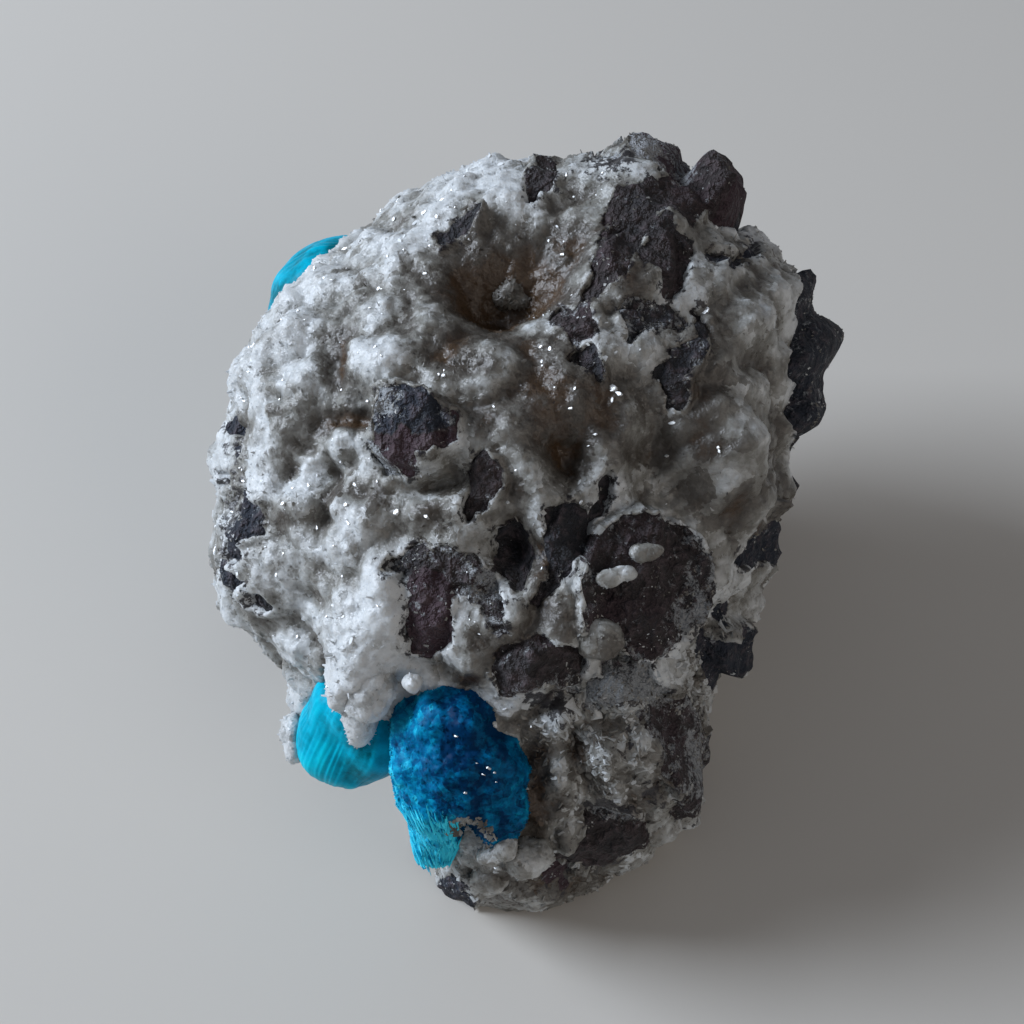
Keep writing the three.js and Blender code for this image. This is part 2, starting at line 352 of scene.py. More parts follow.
def make_piece(
    name: str,
    points: Array,
    triangles: Array,
    material: Material,
    marks: Mapping[str, Array] | None = None,
    normals: Array | None = None,
) -> Object:
    """Makes one piece that rides with the specimen.

    Args:
        name: the piece's name.
        points: its corners, in row-frame millimetres.
        triangles: the corners of each triangle.
        material: its finish.
        marks: one number for each corner, by attribute name.
        normals: shading normals, one for each corner of each triangle, or None for a round look.

    Returns:
        The new object.
    """
    mesh = bpy.data.meshes.new(name)
    mesh.vertices.add(len(points))
    mesh.vertices.foreach_set("co", (points * MM).astype(np.float32).ravel())
    mesh.loops.add(triangles.size)
    mesh.loops.foreach_set("vertex_index", triangles.astype(np.int32).ravel())
    mesh.polygons.add(len(triangles))
    mesh.polygons.foreach_set("loop_start", np.arange(0, triangles.size, 3, dtype=np.int32))
    mesh.polygons.foreach_set("use_smooth", np.full(len(triangles), True))
    mesh.update(calc_edges=True)
    if normals is not None:
        mesh.normals_split_custom_set(normals.tolist())
    for mark, values in (marks or {}).items():
        attribute = mesh.attributes.new(mark, "FLOAT", "POINT")
        attribute.data.foreach_set("value", values.astype(np.float32))
    mesh.materials.append(material)
    piece = bpy.data.objects.new(name, mesh)
    bpy.context.scene.collection.objects.link(piece)
    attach(piece, BODY)
    log.info("%s: %d triangles", name, len(triangles))
    return piece


# ---- The stone's shape ----


class Side(Enum):
    """Which side of the stone a spot lies on: its sign, and the facing over which it fades in.

    The best face runs on a little behind the rim.
    """

    FRONT = (1, -0.55, -0.15)
    BACK = (-1, 0.0, 0.35)


class Tone(Enum):
    """How a face of basalt is coloured, as a place between oxidised red and blue-black."""

    RED = 0.0
    BROWN = 0.35
    SLATE = 0.65
    BLUE_BLACK = 1.0


@dataclass(frozen=True)
class Spot:
    """An elliptical place on the stone, in face coordinates."""

    right: float
    up: float
    width: float
    height: float
    turn: float = 0.0
    side: Side = Side.FRONT

    def distance(self, places: Places) -> Array:
        """How far out of the spot places lie.

        Args:
            places: places on the stone.

        Returns:
            A distance for each: 0 at the spot's middle, 1 on its edge.
        """
        turn = math.radians(self.turn)
        dx = places.right - self.right
        dy = places.up - self.up
        along = (dx * math.cos(turn) + dy * math.sin(turn)) / self.width
        across = (-dx * math.sin(turn) + dy * math.cos(turn)) / self.height
        return np.hypot(along, across)

    def facing_share(self, places: Places) -> Array:
        """1 on the spot's own side of the stone, fading to 0 on the other."""
        sign, start, full = self.side.value
        return smoothstep(sign * places.facing, start, full)

    def share(self, places: Places) -> Array:
        """A soft share that is 1 at the spot's middle and almost 0 one and a half sizes out."""
        return np.exp(-2 * self.distance(places) ** 2) * self.facing_share(places)


Spots = Mapping[str, tuple[Spot, float]]
HIDDEN = -0.3  # the facing from which the best face's windows are out of sight


@dataclass(frozen=True)
class Outcrop:
    """A place where the basalt comes through the crust.

    `lift` is the height of its top over the stone's surface, and `frost` is how much of it is
    dusted with fine white crystals. Crust covers all but the windows of one that isn't `bare`.
    """

    spot: Spot
    lift: float
    tone: Tone = Tone.BROWN
    frost: float = 0.15
    bare: bool = False


@dataclass(frozen=True)
class Window:
    """An angular gap in the crust of the best face, with its corners in face coordinates.

    `lift` is the height of the rock in it over the stone's surface.
    """

    corners: tuple[Pair, ...]
    tone: Tone = Tone.BROWN
    frost: float = 0.1
    lift: float = 0.0

    def depth_in(self, places: Places) -> Array:
        """How far inside the gap places lie.

        Args:
            places: places on the stone.

        Returns:
            A depth in millimetres for each: negative outside the gap.
        """
        spots = np.stack([places.right, places.up], axis=1)
        corners = np.array(self.corners)
        inside = np.zeros(len(spots), dtype=bool)
        nearest = np.full(len(spots), FAR)
        for start, end in zip(corners, np.roll(corners, -1, axis=0)):
            side = end - start
            along = np.clip((spots - start) @ side / (side @ side), 0, 1)
            gap = np.linalg.norm(spots - start - along[:, None] * side, axis=1)
            nearest = np.minimum(nearest, gap)
            spans = (start[1] > spots[:, 1]) != (end[1] > spots[:, 1])
            rise = side[1] if side[1] else TINY
            inside ^= spans & (spots[:, 0] < start[0] + (spots[:, 1] - start[1]) * side[0] / rise)
        return np.where(places.facing < HIDDEN, -FAR, np.where(inside, nearest, -nearest))


@dataclass(frozen=True)
class Places:
    """Places on the stone, with what the reliefs need to know of each."""

    right: Array
    up: Array
    facing: Array
    point: Array
    normal: Array


@dataclass(frozen=True)
class Rock:
    """What shows of the rock at each place: its share, lift, tone and frost."""

    share: Array
    lift: Array
    tone: Array
    frost: Array


OUTLINE = (
    (18.5, 3.6), (19.2, 8.5), (19.5, 12.7), (19.2, 18), (15.3, 20.8), (11.8, 25), (8, 26.7),
    (3.8, 26), (1, 25.3), (-3.2, 25.1), (-6.7, 23.8), (-9.9, 22.3), (-12.3, 20.2), (-15.5, 17.8),
    (-18.1, 15.2), (-20, 11.7), (-20.7, 7.5), (-21.4, 4.7), (-22, 1.5), (-21.9, -2), (-21.1, -5.5),
    (-18.5, -9.3), (-16.7, -11.8), (-15.3, -13.9), (-12.4, -14.8), (-9.2, -16.9), (-7.3, -22),
    (-5, -26.3), (-1.8, -27.2), (1.3, -26.7), (4.5, -25.2), (8.7, -24), (11.3, -21.6), (12.5, -16),
    (13.7, -11.8), (16.2, -6.9), (17.4, -1.6),
)

# Lumps and hollows that rock and crust share, each with its height in millimetres.
LUMPS = {
    "vug": (Spot(-1.8, 17.3, 6.5, 4.6), -4),
    "small vug": (Spot(3, 4.8, 3, 3), -2.2),
    "hole": (Spot(-1, -2, 2.6, 3.2), -3.4),
    "knob groove": (Spot(-6.5, 2.6, 3.4, 1.2, 10), -1.8),
    "upper lump": (Spot(-9.9, 11.3, 4.2, 3.4), 1.6),
    "right bulge": (Spot(14, 5.7, 4, 8, 8), 1.8),
    "right groove": (Spot(9.8, 4.5, 2.4, 7, 12), -1.6),
    "left hollow": (Spot(-14.5, 3.5, 4.5, 1.8, 12), -1.2),
    "lower left ridge": (Spot(-12.3, -8.5, 2.6, 7.5, -6), 1.8),
    "lower left hollow": (Spot(-16.3, -6.5, 2.2, 5, 8), -1.1),
    "right notch": (Spot(13.6, -14.2, 2.2, 2), -1.2),
    "foot lump": (Spot(6, -17.5, 5, 4.5), 1.4),
    "toe": (Spot(-1.2, -24.5, 4.5, 2.8), 1.2),
    "fan lip": (Spot(-11.2, -11.4, 2, 2), 1.4),
    "fan bed": (Spot(-13.9, -13, 1.5, 2.2), -2.4),
    "ball bed": (Spot(-3.6, -13, 4, 1.8), -0.9),
    "right shoulder": (Spot(19.8, 10.8, 1.9, 5.6), 2.2),
    "back vug": (Spot(6, 8, 6, 5, 20, Side.BACK), -3),
    "back lump": (Spot(-8, 4, 7, 6, 0, Side.BACK), 2),
    "back ledge": (Spot(2, 19, 9, 3, -10, Side.BACK), 1.6),
}

OUTCROPS = {
    "summit left": Outcrop(Spot(9, 22.2, 3.6, 2.2), 0, Tone.RED),
    "summit right": Outcrop(Spot(7.8, 18, 3, 3.4), 0.2),
    "horn": Outcrop(Spot(14.5, 23.6, 2.9, 2.7), 2.5, Tone.RED, 0.0, True),
    "crest": Outcrop(Spot(8.6, 25.6, 2.4, 1.7), 0.2, Tone.SLATE, 0.5),
    "star": Outcrop(Spot(3.8, 14.6, 2.2, 1.8), 0),
    "sill": Outcrop(Spot(8.3, 14.3, 2.6, 1.3), 0, Tone.BROWN, 0.3),
    "crescent": Outcrop(Spot(11.3, 11.7, 1.4, 2.7, -20), 0.1, Tone.SLATE),
    # its frost lightens this shadowed right side: partly real dust, partly painted light
    "right shoulder": Outcrop(Spot(20.6, 11.2, 2, 8.2), 0.4, Tone.BLUE_BLACK, 0.3, True),
    "knob": Outcrop(Spot(-8, 6.1, 3, 3), 1.9, Tone.BLUE_BLACK, 0.45),
    "patch": Outcrop(Spot(-2.7, 3.1, 1.6, 2.2, -15), 0, Tone.BROWN, 0.05),
    "red patch": Outcrop(Spot(-7.1, -6, 2.1, 3.2), 0.4, Tone.RED, 0.05),
    "red patch top": Outcrop(Spot(-5.3, -3.1, 4.2, 1.5, -8), 0.2, Tone.BROWN, 0.25),
    "hole floor": Outcrop(Spot(-0.9, -2.2, 1.7, 2.6), 0, Tone.SLATE, 0),
    "cleft": Outcrop(Spot(3.4, -0.9, 2.3, 3.2, -20), -0.6, Tone.SLATE, 0.05),
    "boss": Outcrop(Spot(8.7, -4.8, 3.8, 5.3, -10), 1.1, Tone.BROWN, 0.25),
    "lower patch": Outcrop(Spot(1.2, -10.2, 3.4, 2.3), 0.4, Tone.BROWN, 0.15),
    "lower band": Outcrop(Spot(8, -11.2, 3.8, 1.9, 20), 0.3, Tone.SLATE, 0.5),
    "lower right": Outcrop(Spot(11.2, -16.5, 1.8, 3.6), 0.5, Tone.BROWN, 0.35),
    "foot": Outcrop(Spot(5.4, -22.4, 3.6, 2, 8), 0.3, Tone.BROWN, 0.2),
    "left streak": Outcrop(Spot(-20.3, -0.9, 1.3, 4), 0.1, Tone.BLUE_BLACK, 0.3),
    "right flank": Outcrop(Spot(15.2, -9.1, 2, 2.2), 1.2, Tone.BLUE_BLACK, 0.2),
    "back top": Outcrop(Spot(5, 20, 7, 4, 15, Side.BACK), 1.2, Tone.RED, bare=True),
    "back middle": Outcrop(Spot(-2, 6, 5, 6.5, 30, Side.BACK), 0.8, Tone.BROWN, bare=True),
    "back right": Outcrop(Spot(14, 2, 4.5, 7, -10, Side.BACK), 1.2, Tone.SLATE, bare=True),
    "back left": Outcrop(Spot(-15, -4, 4, 5, 0, Side.BACK), 0.6, Tone.BROWN, bare=True),
}

WINDOWS = {
    "rim streak": Window((
        (-6.5, 20.25), (-6.1, 20.7), (-5.3, 21.05), (-4.3, 21.4), (-3.5, 21.7), (-4.3, 21.25),
        (-5.3, 20.8), (-6.1, 20.35),
    ), Tone.SLATE, 0, 0.6),
    "rim knob": Window((
        (-0.1, 23.4), (0.4, 24), (1.2, 24.7), (1.9, 24.7), (2, 24.1), (1.4, 23.4), (0.6, 23),
        (0, 23.1),
    ), Tone.BROWN, 0.1, 0.3),
    "crest slit": Window((
        (3.8, 25.8), (5.2, 26), (6.4, 25.7), (6.2, 25.3), (4.5, 25.3),
    ), Tone.SLATE, 0.3, -0.1),
    "crest right": Window((
        (6.7, 26.6), (8, 27.3), (9.9, 27.4), (10.4, 26.3), (11.5, 25.5), (11.3, 24.1),
        (10.5, 23.4), (9.5, 24.2), (8.5, 25.3), (7.6, 25.9),
    ), Tone.RED, 0.45, 0.1),
    "summit": Window((
        (6, 22.3), (7.1, 23.4), (9.2, 23.5), (11, 24.3), (12, 23.7), (12, 21.7), (11.6, 20.7),
        (10.8, 21), (10.2, 21.8), (8.5, 21.1), (7.8, 19.5), (7.1, 18.5), (6.6, 17), (5.2, 16.3),
        (4.3, 16.5), (5, 18.2), (5.7, 20.8),
    ), Tone.BROWN, 0.05, 0.15),
    "summit limb": Window((
        (9.4, 21.2), (10.2, 20.2), (11.3, 19.3), (11.4, 17.9), (10.6, 17.2), (10.2, 15.5),
        (9.5, 15.8), (9.4, 17.4), (8.2, 17.8), (8, 18.7), (8.7, 20),
    ), Tone.BROWN, 0.05, 0.1),
    "star": Window((
        (2, 14.9), (2.7, 15.5), (3.5, 15.3), (4.1, 15.8), (4.3, 14.8), (5, 13.4), (4.6, 12.8),
        (3.9, 13.2), (3.6, 12.7), (3, 13.6), (2.2, 14.1),
    ), Tone.BROWN, 0.15, 0.05),
    "sill": Window((
        (6.8, 15.1), (7.4, 15.6), (8.8, 15.4), (10.2, 14.7), (10.9, 13.7), (9.4, 13.9),
        (8.2, 13.4), (7.3, 12.9), (7, 13.9),
    ), Tone.SLATE, 0.3),
    "shard": Window((
        (3.1, 11.6), (4.7, 12.7), (5, 11.5), (5.2, 10.2), (4.3, 10.6),
    ), Tone.SLATE, 0),
    "crescent": Window((
        (11.6, 14.8), (12.2, 14.5), (12.5, 13.4), (12.3, 12), (11.9, 11.1), (10.9, 10.3),
        (11.2, 9.4), (10.9, 8.1), (10.5, 8.4), (10.7, 9.3), (9.9, 9.7), (9.5, 10.6), (10.2, 11.7),
        (11.1, 12.3), (11.9, 12.7), (12, 14),
    ), Tone.SLATE),
    "upper right band": Window((
        (12.6, 18.4), (13.6, 18.7), (14.4, 18.3), (15.2, 18.8), (15.6, 19.9), (16, 19.8), (16, 18.8),
        (15.1, 18.2), (14.1, 17.6), (13.8, 18), (13.2, 17.7), (12.6, 17.9),
    ), Tone.BLUE_BLACK),
    "knob": Window((
        (-9.4, 8.5), (-8.3, 8.7), (-6.9, 8.5), (-5.8, 7.8), (-5, 6.6), (-6.5, 6.1), (-8, 6.4),
        (-9.6, 6.2), (-9.5, 7.3),
    ), Tone.BLUE_BLACK, 0.15, 1.9),
    "knob foot": Window((
        (-9.6, 6.9), (-8, 7.2), (-6.4, 6.8), (-5, 7.2), (-4.6, 6.2), (-4.8, 5.6), (-6.2, 5),
        (-7.4, 4.6), (-8.1, 3.4), (-8.8, 3.8), (-9.9, 5.4),
    ), Tone.RED, 0.1, 1.7),
    "knob spur": Window((
        (-10.9, 5.3), (-9.9, 5.3), (-9, 3.9), (-9.1, 3.4), (-10.2, 3.6),
    ), Tone.BROWN, 0.6, 0.1),
    "patch": Window((
        (-4.1, 3.6), (-3.6, 4.3), (-3.1, 4.7), (-2.7, 4.1), (-1.8, 3.6), (-1.8, 2.7), (-2.5, 2),
        (-3.1, 1), (-4.2, 0.1), (-4.2, 1.3), (-3.7, 2),
    ), Tone.BROWN, 0.05),
    "hole": Window((
        (-2.3, -1.6), (-2.2, -0.4), (-1.3, -0.1), (-0.3, -0.4), (0.4, -2.2), (0.3, -3.7),
        (-0.4, -4.6), (-1.3, -4.3), (-2.3, -3.4),
    ), Tone.SLATE, 0),
    "cleft": Window((
        (1.5, 0.8), (3.3, 1.3), (4.6, 1), (4.8, -0.6), (3.8, -2.7), (2.6, -4.1), (0.8, -6),
        (0.6, -5.7), (1.8, -3.8), (1.4, -1.6),
    ), Tone.SLATE, 0.05, -0.5),
    "tooth": Window((
        (5.5, 2.7), (6, 3.5), (6.4, 3.1), (6.4, 1.9), (5.9, 0.9), (4.6, -0.1), (4.7, 0.9),
        (5.4, 1.5),
    ), Tone.SLATE, 0),
    "red patch": Window((
        (-8.2, -4.3), (-7.4, -3.6), (-6, -3.7), (-5.1, -5.5), (-5.1, -7.8), (-6.6, -9.2),
        (-7.6, -8.9), (-8.2, -7.8), (-8, -5.6),
    ), Tone.RED, 0, 0.5),
    "arch": Window((
        (-10, -3.2), (-9.4, -2.7), (-8.1, -2), (-5.8, -1.9), (-4, -2.5), (-2.5, -3.9),
        (-1.7, -5.8), (-1.3, -7.7), (-2.3, -7.4), (-2.9, -5.7), (-4.2, -4.9), (-5.7, -4.9),
        (-8, -4.4), (-9, -3.6),
    ), Tone.BROWN, 0.25, 0.2),
    "boss": Window((
        (4.1, -2.7), (4.6, -1.3), (6.4, -0.3), (8.3, 0.6), (9.7, 0.3), (11.2, -1.1), (12.1, -2.8),
        (12.4, -4.9), (12, -6.2), (10.5, -6.4), (9.7, -7.8), (8.3, -9), (7.1, -9.1), (6.4, -7.6),
        (5.2, -7.2), (4, -7.3),
    ), Tone.BROWN, 0.2, 1.2),
    "right edge": Window((
        (11.5, -2.4), (12.6, -2.5), (12.4, -3.7), (12.7, -4.9), (12.5, -6.9), (13.2, -8.5),
        (14.7, -8.3), (15.1, -7.5), (16.5, -7.4), (15.5, -9.7), (13.4, -11.8), (12.3, -9.3),
        (12, -6.3), (10.9, -5.5),
    ), Tone.BLUE_BLACK, 0.1, 0.2),
    "right fleck": Window((
        (13.8, -7), (14, -6.2), (14.5, -5.8), (14.5, -6.4), (14.1, -7.1),
    ), Tone.BLUE_BLACK, 0),
    "right flank": Window((
        (14.9, -2.7), (15.3, -1.5), (16.7, -1), (17.8, 0.7), (18.2, -1.3), (17.2, -2.8),
        (15.5, -3.1),
    ), Tone.BLUE_BLACK, 0.1, 0.2),
    "lower patch": Window((
        (-2.3, -10.7), (-1.8, -9), (0.1, -8.5), (0.9, -8), (2.6, -8.8), (3.6, -8.8), (4.1, -10.2),
        (3.5, -11.1), (3.8, -12.3), (2.5, -11.8), (1.3, -11.1), (0.1, -11.8), (-1.8, -12.2),
    ), Tone.BROWN, 0.1, 0.3),
    "lower band": Window((
        (4.3, -11.8), (5.5, -11.1), (5.5, -9.9), (7.1, -9.3), (8.8, -9.5), (8, -10.8),
        (9.8, -11.6), (8.7, -12.4), (6.7, -12), (4.6, -13.4),
    ), Tone.SLATE, 0.4, 0.2),
    "lower right": Window((
        (8.1, -13.3), (8.8, -12.4), (11.1, -12.5), (13, -14.1), (12.6, -15.1), (11.1, -14.7),
        (11.6, -17.2), (10.5, -17.8), (9.2, -16.8), (9.6, -15.1), (8.4, -14.6),
    ), Tone.BROWN, 0.25, 0.4),
    "lower edge": Window((
        (11.5, -15.1), (13, -15.4), (12.6, -17.8), (11.8, -17.5),
    ), Tone.BROWN, 0.2, 0.3),
    "heel": Window((
        (10.5, -18.2), (11.6, -18.5), (12.2, -19.9), (11.1, -21.3), (10.1, -20.3),
    ), Tone.BROWN, 0.15, 0.3),
    "foot": Window((
        (4.1, -20.7), (5.5, -20.2), (7.7, -20.2), (8.3, -22), (6.7, -22.7), (4.9, -23.8),
        (2.8, -23.9), (1.4, -23.6), (3.4, -22.7), (4.4, -21.7),
    ), Tone.BROWN, 0.0, 0.3),
    "under the foot": Window((
        (0.9, -24.2), (1.5, -23.7), (2.8, -23.9), (3.1, -24.5), (2.5, -25.1), (1.4, -25.1),
    ), Tone.RED, 0.1, 0.1),
    "toe clast": Window((
        (-6, -24.9), (-5.2, -24.7), (-4.5, -25.1), (-3.8, -25.8), (-3.9, -26.7), (-4.8, -27.5),
        (-5.6, -26.8),
    ), Tone.BLUE_BLACK, 0.1, 0.6),
    "left fleck": Window((
        (-20.4, 6.9), (-20.2, 7.3), (-20, 6.9), (-20, 6.3), (-20.3, 6.3),
    ), Tone.BLUE_BLACK, 0),
    "left small fleck": Window((
        (-20.3, 5.1), (-20.1, 5.1), (-19.9, 4.8), (-20.1, 4.7),
    ), Tone.BLUE_BLACK, 0),
    "left ring": Window((
        (-21.1, 3.4), (-20.8, 3.5), (-20.6, 2.9), (-20.8, 2.6), (-21, 2.7),
    ), Tone.BLUE_BLACK, 0.3),
    "left streak": Window((
        (-19.7, 1.5), (-19.5, 2), (-18.9, 0.8), (-18.6, -0.6), (-19.5, -1.3), (-19.5, -2.4),
        (-19.9, -2.9), (-20.3, -2), (-20, -1.2), (-20.3, -0.2), (-19.9, 0.3), (-20, 0.8),
    ), Tone.BLUE_BLACK, 0.1, 0.1),
    "left lower streak": Window((
        (-21.5, -3.1), (-21.1, -2.2), (-20.7, -2), (-20.2, -3.4), (-19.7, -4.1), (-20.1, -4.9),
        (-20.9, -3.6),
    ), Tone.BLUE_BLACK, 0.15, 0.1),
    "left slit": Window((
        (-19.3, -4.3), (-19, -5), (-18.2, -6), (-18.6, -6.2), (-19.3, -5.7),
    ), Tone.SLATE, 0),
}

# In the tables that follow, each spot comes with its share of what the table is of.

# Rock under a skin of crystals so thin that it shows through as specks.
SPECKLED = {
    "over the summit": (Spot(6.2, 25, 3.6, 1.6, 5), 0.9),
    "beside the lower patch": (Spot(1.6, -12.8, 4, 1.8, -12), 1.0),
    "lower right": (Spot(6.8, -11.6, 3.6, 2.4, 10), 0.9),
    "under the lower band": (Spot(6.6, -15.2, 1.2, 2.2, -20), 0.6),
    "right of the ball": (Spot(0.8, -17.2, 0.9, 2.8), 0.55),
    "right of the knobs": (Spot(8.6, -18.4, 1.6, 2.2), 0.7),
    "above the foot": (Spot(5.8, -20, 3.4, 1.6, 5), 1.0),
    "boss flank": (Spot(11.6, -6, 2, 5, -10), 0.8),
    "right edge": (Spot(11.6, -16, 2.2, 6, 0), 0.9),
    "left streak": (Spot(-19.9, 0.5, 1.8, 5), 0.8),
    "arch": (Spot(-3.2, -4.6, 2, 3, 30), 0.6),
}

# Rock that fine white crystals powder.
FROSTED = {
    "knob": (Spot(-9.2, 7.5, 1.8, 1.3, 30), 0.55),
    "boss flank": (Spot(11, -6, 2, 4, -10), 0.35),
    "lower band": (Spot(7.4, -11.4, 4, 2.6, 15), 0.45),
    "lower patch": (Spot(2.5, -12, 4, 1.6, -10), 0.5),
    "above the foot": (Spot(5.6, -20.2, 3.6, 1.4, 5), 0.5),
    "right edge": (Spot(11.6, -16, 1.6, 5), 0.3),
    "crest": (Spot(7, 25.6, 3, 1.4), 0.5),
    "red patch": (Spot(-7, -6, 2.6, 4), 0.25),
    "arch": (Spot(-3, -4.6, 2.4, 2.4), 0.3),
}

# Rock whose chips are worn down.
WORN = {"right shoulder": (Spot(20.6, 11.2, 3, 9), 0.7)}

# Rust that the translucent crust shows over the rock, and painted shade where the crust lies in
# shadow or in hollows.
STAINED_AND_SHADED = {
    "vug": (Spot(-1.8, 17.9, 6.2, 3.8), 1.85),
    "small vug": (Spot(2.8, 5, 3.4, 3.4), 0.75),
    "middle": (Spot(2.4, 7.6, 8, 6, 10), 0.95),
    "between the vugs": (Spot(-4.9, 12, 3.2, 3.4), 0.85),
    "left of the summit": (Spot(3.4, 19.8, 3, 4.2), 0.7),
    "middle left": (Spot(-11.8, 2.2, 4, 2.6), 0.7),
    "over the arch": (Spot(-7.2, 0.4, 3.4, 2.2), 0.8),
    "hole to cleft": (Spot(0.9, -3.2, 1.2, 3), 0.75),
    "over the cleft": (Spot(-0.2, 2.6, 1.8, 1.8), 0.7),
    "above the patch": (Spot(-2.8, 6.9, 2.2, 1.8), 0.9),
    "low by the ball": (Spot(0.8, -19.8, 1.6, 3.4), 1.4),
    "below the summit": (Spot(7.2, 17.2, 2, 2.4), 0.6),
    "left middle": (Spot(-16.8, 0.5, 1.3, 1.5), 0.55),
    "left of the knob": (Spot(-16.8, 7.6, 1.6, 3), 0.5),
    "lower centre": (Spot(-2.4, -8.4, 3.4, 2.8), 0.85),
    "under the cleft": (Spot(2.2, -6.4, 2.4, 3), 0.55),
    "lower by the ball": (Spot(2, -19.6, 2, 2.4), 0.8),
    "back of the summit": (Spot(4.4, 16.4, 2.6, 2.2), 0.6),
    "right": (Spot(14, 7, 5, 11, 8), 0.55),
    "right of the vug": (Spot(2.2, 17.4, 1.8, 2.6), 0.7),
    "below the vug lip": (Spot(-2.6, 11, 2, 1.8), 0.9),
    "below the vug": (Spot(-1, 13, 6, 2.5), 0.6),
    "under the knob": (Spot(-6.4, 2.4, 3, 1.2), 0.7),
    "upper left valley": (Spot(-13.2, 11.8, 1.4, 3.4, 8), 0.7),
    "upper lump valley": (Spot(-12.4, 7.2, 4, 1.2, -5), 0.75),
    "left pit": (Spot(-17.4, 9, 0.9, 1.1), 0.6),
    "right groove": (Spot(10, 5, 2.2, 6, 12), 0.45),
    "lower middle": (Spot(4.2, -16, 3, 4), 0.6),
    "beside the ball": (Spot(1, -17.5, 1.6, 3.4), 0.8),
    "lower right": (Spot(9, -16.5, 3, 6), 0.5),
    "above the hole": (Spot(-3, 0.6, 3.4, 1.4), 0.45),
    "toe": (Spot(2, -25, 8, 2.4), 0.55),
    "above the ball": (Spot(-4, -11, 1.6, 1), 0.8),
    "upper left": (Spot(-8, 17, 7, 5, 30), 0.25),
}

# Crust painted whiter than the rest: partly thick, clean crust, partly painted light on the rims,
# ridge and bulge that face the window.
CLEAN_AND_LIT = {
    "lower left ridge": (Spot(-11.6, -8.6, 2.8, 6.5, -6), 0.45),
    "upper lump": (Spot(-10, 11.4, 3, 2.6), 0.3),
    "upper rim": (Spot(-8, 20.6, 6, 1.8, 30), 0.5),
    "top rim": (Spot(-3.6, 24, 3.4, 1.8, 10), 0.6),
    "over the ball": (Spot(-7.8, -11, 2, 1.6), 0.5),
    "upper left": (Spot(-15, 15.6, 2.4, 2.4), 0.35),
    "right bulge": (Spot(14.6, 7.4, 2.2, 4, 12), 0.6),
    "tooth": (Spot(6.2, 1.4, 1.6, 2), 0.5),
}

# Crust that grew as smooth knobs, with few crystals on it.
SMOOTH = {
    "right bulge": (Spot(13.5, 5.5, 5.6, 11, 8), 1.0),
    "lower middle": (Spot(4.5, -16.5, 3.6, 4.5), 0.25),
    "middle": (Spot(5, 7.5, 6, 5), 0.45),
    "under the boss": (Spot(2.4, -6.5, 2.6, 2.2), 0.5),
}

# Lumps and hollows of the crust alone, each with its height in millimetres.
SWELLINGS = {
    "left bulge": (Spot(-18.5, 11, 2, 2.6), 0.6),
    "left notch": (Spot(-17.4, 8.7, 1, 0.8), -0.6),
    "left knob": (Spot(-16, 9.9, 1.2, 2.2), 0.4),
    "upper left valley": (Spot(-13.8, 10, 1.1, 4), -0.9),
    "upper lump valley": (Spot(-12.5, 7.5, 3, 0.9), -0.8),
    "left pit": (Spot(-15.8, 5.3, 1, 0.8), -0.7),
    "left middle knob": (Spot(-13.7, 5, 1.3, 1.5), 0.5),
    "knob valley": (Spot(-12.3, 2.2, 1.6, 1.2), -0.7),
    "left lower bulge": (Spot(-17.9, 1.9, 2, 1.8), 0.5),
    "left lower groove": (Spot(-15.1, 0.1, 2, 0.8), -0.5),
    "ridge crest": (Spot(-10.2, -8.4, 2.5, 6.5, -13), 1.9),
    "vug depth": (Spot(-2.4, 17, 3.6, 2.4), -1.4),
    "right rim": (Spot(18.6, 1.5, 2.4, 4.5), -0.7),
    "upper lump right": (Spot(-4, 11, 2.6, 1.8), -0.8),
    "lower middle knob": (Spot(2.6, -14.2, 1.5, 1.2), 1.0),
    "lower knob": (Spot(5.3, -16, 1.4, 1.7), 1.1),
    "lower left knob": (Spot(2.2, -17.6, 1.3, 1.5), 1.0),
    "lower hollow": (Spot(4.2, -18.2, 1.2, 1), -1.0),
    "lower valley": (Spot(3.6, -15.6, 0.7, 1.8, 20), -0.7),
}

# Single large tablets that catch the light: right, up and how much larger than usual.
GLINTS = (
    (6.1, 9.5, 1.7), (6.35, 9.0, 1.8), (6.1, 8.6, 1.3), (12.5, 14.6, 1.6), (9.4, 10.2, 1.5),
    (13.2, 20.6, 1.4), (-8, -11.3, 1.8), (13.4, -11.6, 1.6), (5.5, -17.2, 1.7), (-2, -23.3, 1.6),
    (1.2, -22.8, 1.5), (-2.5, 25, 2.2), (-1.8, 24.6, 1.6), (-16.6, 1.2, 1.8), (-13.6, 4.4, 1.5),
    (-11, -7.5, 1.6), (-12.5, -10.3, 1.6), (4, 1.4, 1.3), (12.8, 4.6, 1.3), (10.6, 4.9, 1.2),
    (-5.7, 10, 1.4), (-9.4, 9.7, 1.3),
)

# White zeolite tablets on the front ball, set where it glints, partly standing in for its glints as
# painted highlights: right and up on its own skin.
BALL_GLINTS = (
    (-2.5, -15.2), (-2.1, -15.5), (-2.8, -15.6), (-2, -16.1), (-3.2, -14.9), (-4.5, -13.2),
    (-3.9, -16.8),
)

# Where longer blades stand among the fine ones.
BLADED = {
    "lower left ridge": (Spot(-11.6, -9.5, 2.6, 6.5), 1.0),
    "left rim": (Spot(-18.5, 3, 3, 8), 0.6),
    "above the ball": (Spot(-7.6, -11.6, 2, 1), 1.0),
    "middle": (Spot(6.5, 9.2, 2.4, 2), 0.7),
    "upper rim": (Spot(-3, 24.4, 4, 1.2), 0.8),
    "beside the crescent": (Spot(12.3, 14.8, 1, 1), 0.7),
    "upper right": (Spot(13.2, 20.7, 1, 1.4), 0.8),
    "foot": (Spot(-2.2, -23, 4, 2), 0.8),
    "left of the fan": (Spot(-16.6, -14.4, 1.4, 1.6), 0.8),
}

# Where fine crystals stand close together.
SUGARY = {
    "lower middle": (Spot(4.8, -15.6, 5.5, 5.5), 1.0),
    "toe": (Spot(1.5, -24, 6.5, 2), 0.9),
    "right edge": (Spot(12, -9, 2, 6), 0.7),
}


